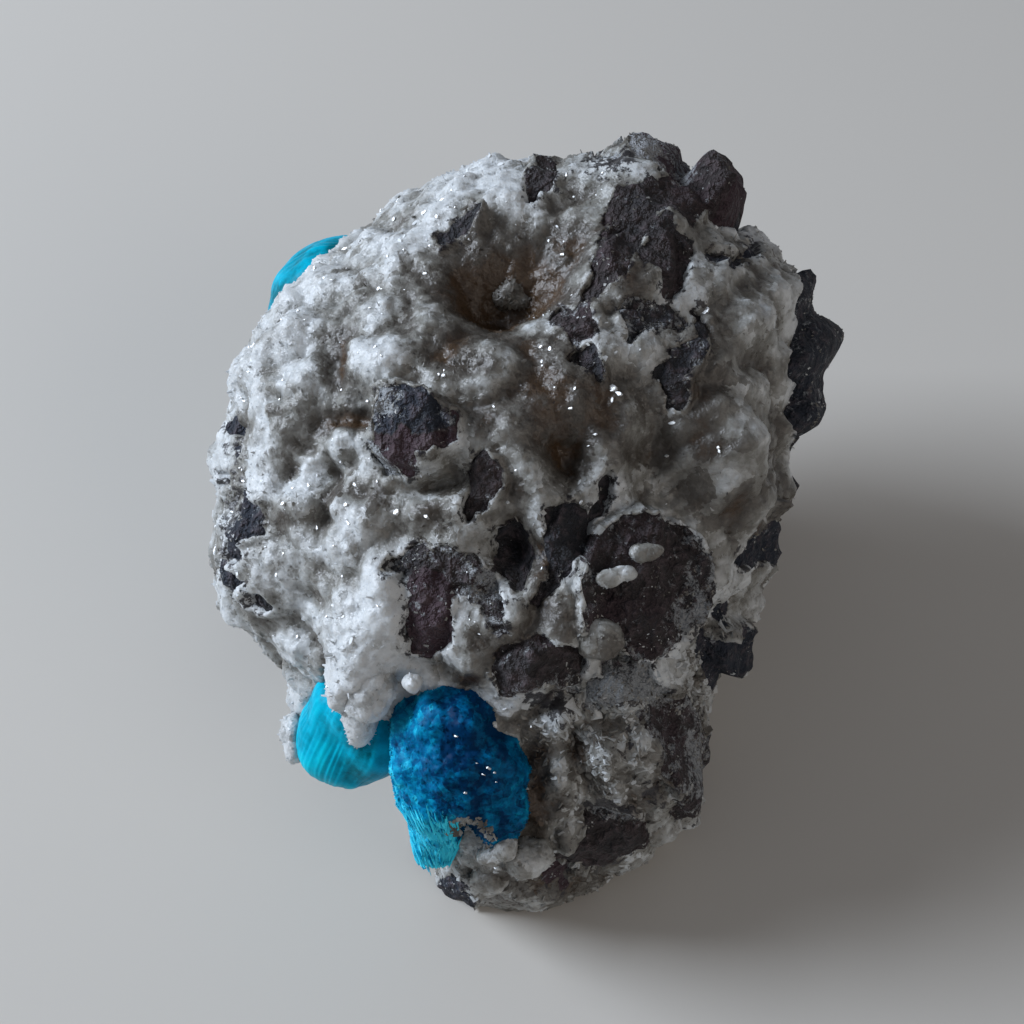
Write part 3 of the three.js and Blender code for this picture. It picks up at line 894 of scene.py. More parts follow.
def share_of(spots: Spots, places: Places) -> Array:
    """The largest share that any of the spots gives each place."""
    return np.max([share * spot.share(places) for spot, share in spots.values()], axis=0)


def raised(height: Array, lumps: Spots, places: Places) -> Array:
    """Heights with what the lumps add at each place.

    Args:
        height: the heights without them.
        lumps: the lumps and hollows.
        places: where the heights are.

    Returns:
        The new heights.
    """
    for spot, lift in lumps.values():
        height = height + lift * spot.share(places)
    return height


def foremost(claims: Iterable[tuple[Array, Outcrop | Window]]) -> Rock:
    """What shows of whichever has the largest share of each place.

    Args:
        claims: outcrops or windows, each with its share of the places.

    Returns:
        The share, lift, tone and frost of the one that shows.
    """
    best = [0.0] * 4
    for own, one in claims:
        values = (own, one.lift, one.tone.value, one.frost)
        best = [np.where(own > best[0], value, old) for value, old in zip(values, best)]
    return Rock(*best)


@dataclass(frozen=True)
class Stone:
    """The shape that rock and crust share, in millimetres and degrees."""

    centre: Triple = (-0.29, -2.56, 18.0)
    tilt: float = 50.0
    eye: Triple = (-1.0, 0.7, 119.5)
    front_depth: float = 15.0
    back_depth: float = 22.0
    outline_spread: float = 5.0
    crust_thickness: float = 1.7
    face_bias: float = 0.5
    swell: Relief = Relief(0.7, 13, 1)
    crust_lumps: Relief = Relief(0.8, 7, 3)
    lump_mean: float = 0.6
    rock_bumps: Relief = Relief(0.45, 4.5, 2)
    crust_bumps: Relief = Relief(0.25, 3.2, 4)
    outcrop_wander: Relief = Relief(0.12, 3, 5)
    edge_wander: Relief = Relief(0.22, 1.9, 8)
    fine_wander: Relief = Relief(0.16, 0.9, 9)

    def axes(self) -> Array:
        """The directions of right, up and out in the row frame, one to a row."""
        tilt = math.radians(self.tilt)
        return np.array([
            [1, 0, 0],
            [0, math.sin(tilt), math.cos(tilt)],
            [0, -math.cos(tilt), math.sin(tilt)],
        ])

    def to_row(self, points: Array) -> Array:
        """Row-frame millimetres of places in face coordinates."""
        return np.asarray(points) @ self.axes() + np.array(self.centre)

    def drawn_in(self, points: Array) -> Array:
        """Draws places on the face towards the eye's axis, by how far out they stand."""
        flat, out = points[:, :2], points[:, 2:]
        return np.hstack([flat + (np.array(self.eye[:2]) - flat) * (out / self.eye[2]), out])

    def outline_radius(self, angle: Array) -> Array:
        """The outline's distance from the stone's middle.

        Args:
            angle: angles round the face, in radians.

        Returns:
            A distance for each angle, softened between the outline's points.
        """
        points = np.array(OUTLINE)
        turn = angle[:, None] - np.arctan2(points[:, 1], points[:, 0])
        turn = np.arctan2(np.sin(turn), np.cos(turn))
        weights = np.exp(-((turn / math.radians(self.outline_spread)) ** 2))
        return (weights @ np.hypot(points[:, 0], points[:, 1])) / weights.sum(axis=1)

    def places(self, directions: Array) -> Places:
        """The stone's surface in each direction from its middle.

        Args:
            directions: unit directions in face coordinates.

        Returns:
            The places on the smooth stone, before any relief.
        """
        radius = self.outline_radius(np.arctan2(directions[:, 1], directions[:, 0]))
        depth = np.where(directions[:, 2] > 0, self.front_depth, self.back_depth)
        reach = np.stack([radius, radius, depth], axis=1)
        whole = directions * reach
        normal = unit(directions / reach)
        return Places(whole[:, 0], whole[:, 1], directions[:, 2], self.drawn_in(whole), normal)

    def shared_lift(self, places: Places) -> Array:
        """The relief that rock and crust share."""
        return raised(self.swell.at(places.point), LUMPS, places)

    def outcrops(self, places: Places, edge: Pair, bare_only: bool) -> Rock:
        """How much each place belongs to an outcrop.

        Args:
            places: places on the stone.
            edge: where an outcrop's share starts to fall and where it ends, in parts of its size.
            bare_only: whether only outcrops that no crust covers count.

        Returns:
            What shows of the outcrop that has the largest share.
        """
        wander = self.outcrop_wander.at(places.point)
        claims = []
        for outcrop in OUTCROPS.values():
            if outcrop.bare or not bare_only:
                own = 1 - smoothstep(outcrop.spot.distance(places) + wander, *edge)
                claims.append((own * outcrop.spot.facing_share(places), outcrop))
        return foremost(claims)

    def windows(self, places: Places, edge: Pair) -> Rock:
        """How much each place belongs to a window in the crust.

        Args:
            places: places on the stone.
            edge: where a window's share starts and where it is full, in millimetres inside it.

        Returns:
            What shows of the window that has the largest share.
        """
        wander = self.edge_wander.at(places.point) + self.fine_wander.at(places.point)
        return foremost(
            (smoothstep(window.depth_in(places) + wander, *edge), window)
            for window in WINDOWS.values()
        )

    def skin(self, places: Places, lift: Array) -> Array:
        """The surface at a height over the smooth stone.

        Args:
            places: places on the smooth stone.
            lift: the height at each.

        Returns:
            Row-frame places, cut off at the base.
        """
        row = self.to_row(places.point + places.normal * lift[:, None])
        row[:, 2] = np.maximum(row[:, 2], 0)
        return row

    def even_places(self, steps: int) -> tuple[Places, Array]:
        """Places all round the stone, closer together on its best face.

        Args:
            steps: cuts along each edge of the icosahedron that they start from.

        Returns:
            The places, and the corners of each triangle between them.
        """
        directions, triangles = icosphere(steps)
        return self.places(unit(directions + np.array([0, 0, self.face_bias]))), triangles


# ---- Finishes ----


def per_metre(size: float) -> float:
    """A texture's scale for a pattern of the given size in millimetres."""
    return 1 / (size * MM)


def centred(weight: float) -> dict[str | int, object]:
    """Settings that turn a pattern from 0 to 1 into one round 0, as wide as its weight."""
    return {"operation": "MULTIPLY_ADD", 1: weight, 2: -weight / 2}


@dataclass(frozen=True)
class Noise:
    """A noise pattern: its size in millimetres, levels of detail, and how much they count."""

    size: float
    detail: float
    harshness: float = 0.65

    def settings(self) -> dict[str, float]:
        """The inputs that draw it at its real size."""
        return {
            "Scale": per_metre(self.size), "Detail": self.detail, "Roughness": self.harshness
        }


@dataclass(frozen=True)
class WeatheredBasalt:
    """Fine-grained basalt, broken and weathered by hand and water.

    Its dull, gritty face runs from oxidised red to blue-black, and a dust of zeolite whitens it in
    places. Its high grains are painted paler, a painted highlight on the crests of its bumps.
    """

    red: str = "#37212a"
    brown: str = "#261d1d"
    slate: str = "#1e1e23"
    blue_black: str = "#141d2c"
    grain_highlight: str = "#75666a"
    frost: str = "#a9adb0"
    roughness: float = 0.8
    ior: float = 1.55
    tones: Noise = Noise(3.5, 4.0)
    grains: Noise = Noise(0.7, 3.0, 0.6)  # real ones are finer than 0.1 mm: drawn coarse to show
    specks: Noise = Noise(0.8, 7.0, 0.8)
    tone_drift: float = 1.1
    frost_pull: float = 0.35
    grain_highlight_rise: Triple = (0.48, 0.75, 0.42)  # where the painted highlight on high grains starts and is full, and how pale
    frost_rise: Triple = (0.66, 0.75, 0.72)
    bump_mm: float = 1.6

    @cache
    def build(self) -> Material:
        """Makes the material.

        Returns:
            The material, the same one each time.
        """
        material, tree = new_material("weathered_basalt")
        where = add_node(tree, "TexCoord", out="Object")
        tone, frost = (
            add_node(tree, "Attribute", {"attribute_name": name}, out="Fac")
            for name in ("tone", "frost")
        )
        drift, grains, specks = (
            add_node(tree, "TexNoise", noise.settings(), {"Vector": where})
            for noise in (self.tones, self.grains, self.specks)
        )
        shifted = add_node(tree, "Math", centred(self.tone_drift), {0: drift})
        toned = add_node(
            tree, "Math", {"operation": "ADD", "use_clamp": True}, {0: tone, 1: shifted}
        )
        colours = (self.red, self.brown, self.slate, self.blue_black)
        colour = add_node(
            tree, "ValToRGB", {"stops": [(step.value, own) for step, own in zip(Tone, colours)]},
            {"Fac": toned},
        )
        dusted = add_node(
            tree, "Math", {"operation": "MULTIPLY_ADD", 1: self.frost_pull}, {0: frost, 2: specks},
        )
        # pale grains on the bump's crests are painted highlight; frost is real zeolite dust
        for dust, over, (start, full, most) in (
            (grains, self.grain_highlight, self.grain_highlight_rise), (dusted, self.frost, self.frost_rise),
        ):
            share = add_node(
                tree, "MapRange", {"From Min": start, "From Max": full, "To Max": most},
                {"Value": dust},
            )
            colour = add_node(
                tree, "Mix", {"data_type": "RGBA", 7: linear(over)}, {0: share, 6: colour}, out=2
            )
        bump = add_node(
            tree, "Bump", {"Strength": 1.0, "Distance": self.bump_mm * MM}, {"Height": grains},
        )
        shader = add_node(
            tree, "BsdfPrincipled", {"Roughness": self.roughness, "IOR": self.ior},
            {"Base Color": colour, "Normal": bump},
        )
        add_node(tree, "OutputMaterial", links={"Surface": shader})
        return material


@dataclass(frozen=True)
class ZeoliteDruse:
    """Stilbite-type zeolite, grown as a sugary skin of blades.

    Light sinks into it before it comes back, so its lumps look soft and milky, and each clump has
    its own clearness; where it is thin, the rust of the rock shows through. Every small blade has
    a face of its own, which glints when it is turned to the light.
    """

    name: str
    clean: str = "#c9cccd"
    shaded: str = "#84837e"
    dim: str = "#5d5953"
    dark: str = "#4b4640"
    rust: str = "#483726"
    rock: str = "#1c171c"
    roughness: float = 0.32
    ior: float = 1.5
    scatter: float = 0.55
    scatter_mm: float = 0.8
    scatter_rgb: Triple = (1.0, 0.95, 0.88)  # how far each colour goes, in parts of that
    clouds: Noise = Noise(2.4, 5.0)
    specks: Noise = Noise(0.6, 4.0)
    rags: Noise = Noise(0.5, 2.0, 0.5)
    clump_mm: float = 1.5
    blade_mm: float = 0.38
    blade_tear: float = 0.6  # how far ragged edges are pulled, in parts of their own size
    clump_tear: float = 2.6
    cloud_weight: float = 1.4
    clump_weight: float = 0.5
    blade_weight: float = 0.1
    thin_pull: float = 0.35
    rock_rise: Triple = (0.68, 0.74, 0.92)  # where bare rock starts and is full, and how full
    turn: float = 0.33
    bump: float = 0.6
    bump_mm: float = 0.3
    stain_and_shade_levels: tuple[float, ...] = (0.0, 0.42, 0.7, 0.93, 1.3)  # at each colour, from clean through painted shade to rust

    @cache
    def build(self) -> Material:
        """Makes the material.

        Returns:
            The material, the same one each time.
        """
        material, tree = new_material(self.name)
        where = add_node(tree, "TexCoord", out="Object")
        # the stain mark holds rust, and also painted shade in hollows and shadow and painted light
        # where the crust is lit
        stain, thin, smooth = (
            add_node(tree, "Attribute", {"attribute_name": name}, out="Fac")
            for name in ("stain", "thin", "smooth")
        )
        clouds, specks = (
            add_node(tree, "TexNoise", noise.settings(), {"Vector": where})
            for noise in (self.clouds, self.specks)
        )
        rags = add_node(tree, "TexNoise", self.rags.settings(), {"Vector": where}, out="Color")
        blades, clumps = (
            add_node(tree, "TexVoronoi", {"Scale": per_metre(size)}, {"Vector": add_node(
                tree, "VectorMath",
                {"operation": "MULTIPLY_ADD", 1: (tear * self.rags.size * MM,) * 3},
                {0: rags, 2: where},
            )}, out="Color")
            for size, tear in ((self.blade_mm, self.blade_tear), (self.clump_mm, self.clump_tear))
        )
        shade = stain
        for pattern, weight in (
            (clouds, self.cloud_weight), (clumps, self.clump_weight), (blades, self.blade_weight),
        ):
            weighed = add_node(tree, "Math", centred(weight), {0: pattern})
            shade = add_node(tree, "Math", {"operation": "ADD"}, {0: shade, 1: weighed})
        deepest = self.stain_and_shade_levels[-1]
        shade = add_node(tree, "Math", {"operation": "DIVIDE", 1: deepest}, {0: shade})
        colours = (self.clean, self.shaded, self.dim, self.dark, self.rust)
        colour = add_node(
            tree, "ValToRGB",
            {"stops": [(step / deepest, own) for step, own in zip(self.stain_and_shade_levels, colours)]},
            {"Fac": shade},
        )
        thinned = add_node(
            tree, "Math", {"operation": "MULTIPLY_ADD", 1: self.thin_pull}, {0: thin, 2: specks},
        )
        start, full, most = self.rock_rise
        bare = add_node(
            tree, "MapRange", {"From Min": start, "From Max": full, "To Max": most},
            {"Value": thinned},
        )
        colour = add_node(
            tree, "Mix", {"data_type": "RGBA", 7: linear(self.rock)}, {0: bare, 6: colour}, out=2
        )
        links = {"Base Color": colour}
        if self.bump_mm:
            links["Normal"] = self.facing(tree, blades, smooth, specks)
        shader = add_node(
            tree, "BsdfPrincipled",
            {
                "Roughness": self.roughness, "IOR": self.ior, "Subsurface Weight": self.scatter,
                "Subsurface Radius": self.scatter_rgb, "Subsurface Scale": self.scatter_mm * MM,
            },
            links,
        )
        add_node(tree, "OutputMaterial", links={"Surface": shader})
        return material

    def facing(
        self,
        tree: NodeTree,
        blades: NodeSocket,
        smooth: NodeSocket,
        specks: NodeSocket,
    ) -> NodeSocket:
        """Turns every small blade's face its own way.

        Args:
            tree: the material's node tree.
            blades: a colour for each blade.
            smooth: how smooth the crust is, where blades don't show.
            specks: the height of the grit on the blades.

        Returns:
            The normal.
        """
        turned = add_node(
            tree, "VectorMath",
            {"operation": "MULTIPLY_ADD", 1: (self.turn,) * 3, 2: (-self.turn / 2,) * 3},
            {0: blades},
        )
        sugar = add_node(tree, "Math", {"operation": "SUBTRACT", 0: 1.0}, {1: smooth})
        tilt = add_node(tree, "VectorMath", {"operation": "SCALE"}, {0: turned, "Scale": sugar})
        plain = add_node(tree, "NewGeometry", out="Normal")
        tilted = add_node(tree, "VectorMath", {"operation": "ADD"}, {0: plain, 1: tilt})
        faced = add_node(tree, "VectorMath", {"operation": "NORMALIZE"}, {0: tilted})
        return add_node(
            tree, "Bump", {"Strength": self.bump, "Distance": self.bump_mm * MM},
            {"Height": specks, "Normal": faced},
        )


@dataclass(frozen=True)
class CavansiteBlades:
    """Cavansite, a vanadium silicate, grown as rosettes of fine blades.

    Its blue is strong all through. Blade ends and thin edges are paler and catch the light, and
    the sides of the blades give a vitreous, slightly silky gloss. Its tint is also painted paler on
    high relief and on the left, towards the window, as painted sheen, and deeper in hollows, as
    painted shade.
    """

    name: str
    deep: str
    body: str
    pale: str
    edge: str
    roughness: float = 0.45
    ior: float = 1.5
    scatter: float = 0.15
    scatter_mm: float = 0.4
    scatter_rgb: Triple = (0.3, 0.8, 1.0)
    clouds: Noise = Noise(1.1, 5.0)
    blades: Noise = Noise(0.25, 2.0, 0.5)
    powder: float = 1.9
    patch_mm: float = 0.7
    patch: float = 0.5
    tints: tuple[float, ...] = (0.0, 0.4, 0.75, 1.0)  # at each colour, from deep to edge
    bump: float = 0.35
    bump_mm: float = 0.05
    shine: float = 0.05

    @cache
    def build(self) -> Material:
        """Makes the material.

        Returns:
            The material, the same one each time.
        """
        material, tree = new_material(self.name)
        where = add_node(tree, "TexCoord", out="Object")
        tint = add_node(tree, "Attribute", {"attribute_name": "tint"}, out="Fac")
        powder, blades = (
            add_node(tree, "TexNoise", noise.settings(), {"Vector": where})
            for noise in (self.clouds, self.blades)
        )
        patches = add_node(
            tree, "TexVoronoi", {"Scale": per_metre(self.patch_mm)}, {"Vector": where}, out="Color"
        )
        drift, patched = (
            add_node(tree, "Math", centred(weight), {0: pattern})
            for pattern, weight in ((powder, self.powder), (patches, self.patch))
        )
        drifted = add_node(tree, "Math", {"operation": "ADD"}, {0: drift, 1: patched})
        tinted = add_node(
            tree, "Math", {"operation": "ADD", "use_clamp": True}, {0: tint, 1: drifted},
        )
        colours = (self.deep, self.body, self.pale, self.edge)
        colour = add_node(
            tree, "ValToRGB", {"stops": list(zip(self.tints, colours))}, {"Fac": tinted}
        )
        bump = add_node(
            tree, "Bump", {"Strength": self.bump, "Distance": self.bump_mm * MM}, {"Height": blades},
        )
        shader = add_node(
            tree, "BsdfPrincipled",
            {
                "Roughness": self.roughness, "IOR": self.ior, "Specular IOR Level": self.shine,
                "Subsurface Weight": self.scatter, "Subsurface Radius": self.scatter_rgb,
                "Subsurface Scale": self.scatter_mm * MM,
            },
            {"Base Color": colour, "Normal": bump},
        )
        add_node(tree, "OutputMaterial", links={"Surface": shader})
        return material


# ---- Crystals ----


@dataclass(frozen=True)
class Crystal:
    """One crystal's corners, for a width, thickness and length of 1, and its facets."""

    corners: tuple[Triple, ...]
    facets: tuple[tuple[int, int, int], ...]


# A flattened four-sided prism from a point, with a chisel end.
BLADE = Crystal(
    (
        (0, 0, 0), (0.5, 0, 0.6), (0, 0.5, 0.6), (-0.5, 0, 0.6), (0, -0.5, 0.6),
        (0.24, 0, 1), (-0.24, 0, 1),
    ),
    (
        (0, 2, 1), (0, 3, 2), (0, 4, 3), (0, 1, 4),
        (1, 2, 5), (2, 6, 5), (2, 3, 6), (3, 4, 6), (4, 5, 6), (4, 1, 5),
    ),
)

# The chisel end of a blade that stands in a crust of its own kind, with no root.
GRAIN = Crystal(
    ((0.5, 0.5, 0), (-0.5, 0.5, 0), (-0.5, -0.5, 0), (0.5, -0.5, 0), (0.3, 0, 1), (-0.3, 0, 1)),
    ((0, 1, 5), (0, 5, 4), (2, 3, 4), (2, 4, 5), (3, 0, 4), (1, 2, 5)),
)

# A flat six-sided tablet with a broad face at its end.
TABLET = Crystal(
    (
        (0.5, 0.25, 1), (0, 0.5, 1), (-0.5, 0.25, 1),
        (-0.5, -0.25, 1), (0, -0.5, 1), (0.5, -0.25, 1),
        (0.5, 0.25, 0), (0, 0.5, 0), (-0.5, 0.25, 0),
        (-0.5, -0.25, 0), (0, -0.5, 0), (0.5, -0.25, 0),
    ),
    (
        (0, 1, 2), (0, 2, 3), (0, 3, 5), (3, 4, 5),
        (0, 7, 1), (0, 6, 7), (1, 8, 2), (1, 7, 8), (2, 9, 3), (2, 8, 9),
        (3, 10, 4), (3, 9, 10), (4, 11, 5), (4, 10, 11), (5, 6, 0), (5, 11, 6),
    ),
)


@dataclass(frozen=True)
class Growth:
    """How one generation of crystals stands, with their number and their sizes in millimetres.

    Light that sinks in evens out the shade of small facets: `softness` is how far their normals
    are turned to the surface that they stand on.
    """

    crystal: Crystal
    count: int
    length: float
    width: float
    flatness: Pair = (0.4, 0.8)
    lean: float = 0.5
    bury: float = 0.55
    spread: float = 0.3
    softness: float = 0.72
    shade: Pair = (0.0, 0.09)  # what is added to their stain or tint, and its spread

    def grow(self, rng: Generator, seeds: Seeds, scale: Array, mark: Array) -> Facets:
        """Stands one crystal at each seed.

        Args:
            rng: the source of the draws.
            seeds: where the crystals start.
            scale: how much larger than usual each one is.
            mark: each crystal's mark.

        Returns:
            All the crystals as one mesh.
        """
        count = len(seeds.roots)
        ways = leaning(rng, seeds.ways, self.lean)
        length = self.length * scale * rng.lognormal(0, self.spread, count)
        width = self.width * scale * rng.lognormal(0, self.spread, count)
        sizes = np.stack([width, width * rng.uniform(*self.flatness, count), length], axis=1)
        helper = np.where(np.abs(ways[:, 2:3]) < 0.9, [[0.0, 0.0, 1.0]], [[1.0, 0.0, 0.0]])
        first = unit(np.cross(ways, helper))
        spin = rng.uniform(0, math.pi, count)[:, None]
        wide = first * np.cos(spin) + np.cross(ways, first) * np.sin(spin)
        frame = np.stack([wide, np.cross(ways, wide), ways], axis=1)
        local = np.array(self.crystal.corners)[None] * sizes[:, None, :]
        starts = seeds.roots - ways * (length * self.bury)[:, None]
        step, facets = len(self.crystal.corners), np.array(self.crystal.facets)
        points = (starts[:, None] + local @ frame).reshape(-1, 3)
        triangles = (facets[None] + (np.arange(count) * step)[:, None, None]).reshape(-1, 3)
        own = unit(crossed(points, triangles))
        normals = mixed(own, np.repeat(seeds.ways, len(facets), axis=0), self.softness)
        return Facets(points, triangles, np.repeat(mark, step), np.repeat(normals, 3, axis=0))


@dataclass(frozen=True)
class Seeds:
    """Random places on a mesh where crystals start."""

    shares: Array
    corners: Array
    roots: Array
    ways: Array

    def of(self, values: Array) -> Array:
        """The mesh's values at each place."""
        return np.einsum("nk,nk->n", self.shares, values[self.corners])

    def where(self, keep: Array) -> Seeds:
        """Only some of the places."""
        return Seeds(self.shares[keep], self.corners[keep], self.roots[keep], self.ways[keep])


def scatter(
    rng: Generator, count: int, points: Array, triangles: Array, weight: Array
) -> Seeds:
    """Picks random places on a mesh.

    Args:
        rng: the source of the draws.
        count: how many places.
        points: the mesh's corners.
        triangles: the corners of its triangles.
        weight: how likely each corner's surroundings are.

    Returns:
        The places.
    """
    area = np.linalg.norm(crossed(points, triangles), axis=1)
    chance = area * weight[triangles].min(axis=1)
    picked = rng.choice(len(triangles), size=count, p=chance / chance.sum())
    shares = rng.dirichlet((1.0, 1.0, 1.0), size=count)
    corners = triangles[picked]
    normals = corner_normals(points, triangles)
    roots, ways = (np.einsum("nk,nkc->nc", shares, own[corners]) for own in (points, normals))
    return Seeds(shares, corners, roots, unit(ways))


def leaning(rng: Generator, ways: Array, lean: float) -> Array:
    """Turns unit directions by random amounts.

    Args:
        rng: the source of the draws.
        ways: the directions.
        lean: how far they turn, as the spread of a sideways step.

    Returns:
        The new unit directions.
    """
    step = rng.normal(size=ways.shape) * lean
    return unit(ways + step - ways * np.sum(step * ways, axis=1)[:, None])


# ---- Balls that grow on the stone ----


@dataclass(frozen=True)
class Ball:
    """One ball of a cluster: `sink` is how far its middle lies under the stone's surface."""

    right: float
    up: float
    sink: float
    radii: Triple

    def centre(self, stone: Stone) -> Array:
        """Where the ball's middle is.

        Args:
            stone: the stone that it grows on.

        Returns:
            The place in face coordinates.
        """
        radius = stone.outline_radius(np.array([math.atan2(self.up, self.right)]))[0]
        share = min(1.0, math.hypot(self.right, self.up) / radius)
        surface = stone.front_depth * math.sqrt(1 - share * share)
        return stone.drawn_in(np.array([[self.right, self.up, surface - self.sink]]))[0]

    def reach(self, stone: Stone, face: Array) -> Array:
        """How far out of the ball each place on the face lies: 1 on its surface."""
        return np.linalg.norm((face - self.centre(stone)) / np.array(self.radii), axis=1)


@dataclass(frozen=True)
class Cushion:
    """A small cushion of zeolite: balls grown together, with crystals on them."""

    balls: tuple[Ball, ...]
    crystals: int
    stain: float = 0.05
    sugary: bool = False
    stain_spread: float = 0.06


CUSHIONS = {
    "clump in the vug": Cushion(
        (
            Ball(-0.8, 16.2, 5.3, (1, 0.9, 0.9)), Ball(-1.6, 15.6, 5.5, (0.6, 0.7, 0.7)),
            Ball(0, 16.9, 5.4, (0.6, 0.7, 0.7)), Ball(-0.2, 15.6, 5.6, (0.6, 0.5, 0.6)),
            Ball(-1.5, 16.9, 5.5, (0.5, 0.7, 0.6)),
        ), 260, 0.75, True
    ),
    "boss upper": Cushion((Ball(8.4, -2.1, -1.1, (1.1, 0.6, 0.45)),), 12, 0.4),
    "boss lower": Cushion(
        (Ball(6.9, -3.6, -1.2, (0.8, 0.5, 0.4)), Ball(5.8, -4, -1.2, (0.8, 0.6, 0.4))), 20, 0.15
    ),
    "boss pearl": Cushion((Ball(5.1, -8.2, -0.7, (1.5, 1.4, 0.9)),), 30, 0.45),
    "tongue over the fan": Cushion(
        (
            Ball(-11.1, -12, -2.5, (1.5, 1.9, 1.2)),
            Ball(-10.8, -10, -0.9, (1.6, 2.4, 1.2)),
            Ball(-11.6, -13.6, -3, (1.2, 1.5, 1.1)),
            Ball(-11.6, -14.7, -4.4, (0.8, 1, 0.8)),
        ), 300, 0.0
    ),
    "edge left of the fan": Cushion(
        (Ball(-16.4, -14.6, -1.2, (0.8, 1.2, 1.1)), Ball(-16.2, -16, -1.4, (0.6, 0.9, 0.8))), 100
    ),
    "right of the notch": Cushion(
        (Ball(-1.6, -22.6, -1.6, (0.9, 1, 0.9)), Ball(-2.6, -23.4, -1.6, (0.8, 0.7, 0.8))), 60, 0.3
    ),
    "under the ball": Cushion(
        (Ball(-0.2, -23.6, -1.2, (1.4, 1.3, 1.2)), Ball(1.1, -23.2, -0.9, (0.8, 0.9, 0.8))), 120,
        0.25,
    ),
    "toe": Cushion((Ball(-2.6, -24.9, -0.7, (1.3, 1.1, 1.1)),), 60, 0.35),
    # its low stain keeps it at the clean white: white zeolite, partly a painted highlight where it
    # glints
    "bead over the ball": Cushion((Ball(-8, -11.2, -2.2, (0.55, 0.6, 0.5)),), 20, -0.4),
}


@dataclass(frozen=True)
class Notch:
    """A hollow in a cluster with a broken ring of sugary crystals on its rim."""

    right: float
    up: float
    radius: float
    depth: float
    open_at: float = -135.0  # the middle of the gap in its ring, in degrees
    gap: Pair = (0.3, 0.9)
    ring_radius: float = 1.3
    ring_width: float = 0.32

    def out(self, places: Array) -> Array:
        """How far out of the hollow each place in face coordinates lies: 1 on its rim."""
        return np.hypot(places[:, 0] - self.right, places[:, 1] - self.up) / self.radius

    def hollow(self, places: Array) -> Array:
        """How deep the hollow is at each place in face coordinates."""
        return self.depth * np.exp(-(self.out(places) ** 4)) * (places[:, 2] > 0)

    def ring(self, places: Array) -> Array:
        """Where the ring of crystals stands, open at its lower left.

        Args:
            places: places in face coordinates.

        Returns:
            The ring's share of each.
        """
        turn = np.arctan2(places[:, 1] - self.up, places[:, 0] - self.right)
        turn -= math.radians(self.open_at)
        gap = smoothstep(np.abs(np.arctan2(np.sin(turn), np.cos(turn))), *self.gap)
        off = (self.out(places) - self.ring_radius) / self.ring_width
        return np.exp(-(off**2)) * gap * (places[:, 2] > 0)


NOTCH = Notch(-3.6, -20.0, 0.95, 1.0)

BLEND = 1.6  # how sharply a ball's pull falls: lower numbers fill the valleys between balls more
MARCH = 90  # steps from the middle to past the skin
PAST = 1.15  # how far past it they go


def blended(balls: Sequence[Ball], directions: Array, stone: Stone) -> Array:
    """How far one skin round balls that have grown together lies from the first ball's middle.

    Each ball pulls with a strength of 1 at its own surface, and the skin is the outermost place
    where all of them together pull that strongly.

    Args:
        balls: the balls.
        directions: unit directions from the first ball's middle.
        stone: the stone that they grow on.

    Returns:
        One distance for each direction, in millimetres.
    """
    pulls = [(ball.centre(stone), np.array(ball.radii)) for ball in balls]
    start = pulls[0][0]
    ends = [np.linalg.norm(middle - start) + radii.max() for middle, radii in pulls]
    step = PAST * max(ends) / MARCH
    reach = np.zeros(len(directions))
    before = np.full(len(directions), FAR)
    for distance in np.arange(1, MARCH + 1) * step:
        places = start + directions * distance
        pull = np.zeros(len(directions))
        for middle, radii in pulls:
            pull += np.exp(BLEND - BLEND * np.sum(((places - middle) / radii) ** 2, axis=1))
        leaving = (before >= 1) & (pull < 1)
        part = (before - 1) / np.maximum(before - pull, TINY)
        reach = np.where(leaving, distance - step * (1 - part), reach)
        before = pull
    return reach


# ---- Cavansite ----


class Habit(Enum):
    """How a cluster's blades stand together."""

    NODULAR = "small knobs of short blades"
    SILKY = "long blades packed side by side from one root"


@dataclass(frozen=True)
class Paling:
    """Where a cluster is paler or deeper than its body, in face coordinates.

    Each span is how far left of the face's origin, or below it, the change starts and is full.
    """

    body: float = 0.15
    sheen_and_shade_by_height: float = 0.35
    left: float = 0.42
    left_span: Pair = (3.5, 8.5)
    low: float = 0.6
    low_span: Pair = (17.5, 20.5)
    low_left_span: Pair = (3.8, 5.4)
    heart: float = 0.38
    heart_place: Pair = (-4, -13.6)
    heart_size: Pair = (1.8, 2.4)

    def tint(self, face: Array, height: Array) -> Array:
        """How pale a cluster's skin is.

        Args:
            face: its corners in face coordinates.
            height: their relief.

        Returns:
            A number for each, from 0 in the deep blue to 1 on thin bright edges.
        """
        left = smoothstep(-face[:, 0], *self.left_span)
        low = smoothstep(-face[:, 1], *self.low_span)
        low *= smoothstep(-face[:, 0], *self.low_left_span)
        off = (face[:, :2] - self.heart_place) / self.heart_size
        heart = np.exp(-(off[:, 0] ** 2) - off[:, 1] ** 2)
        # by height: painted sheen on ridges and painted shade in hollows; left: painted light on the
        # side towards the window, over a real paler tint
        paler = self.body + self.sheen_and_shade_by_height * height + self.left * left + self.low * low
        return paler - self.heart * heart


SILKY_PALING = Paling(0.24, 1.7, 0.25, (10.5, 14.5), low=0, heart=0)


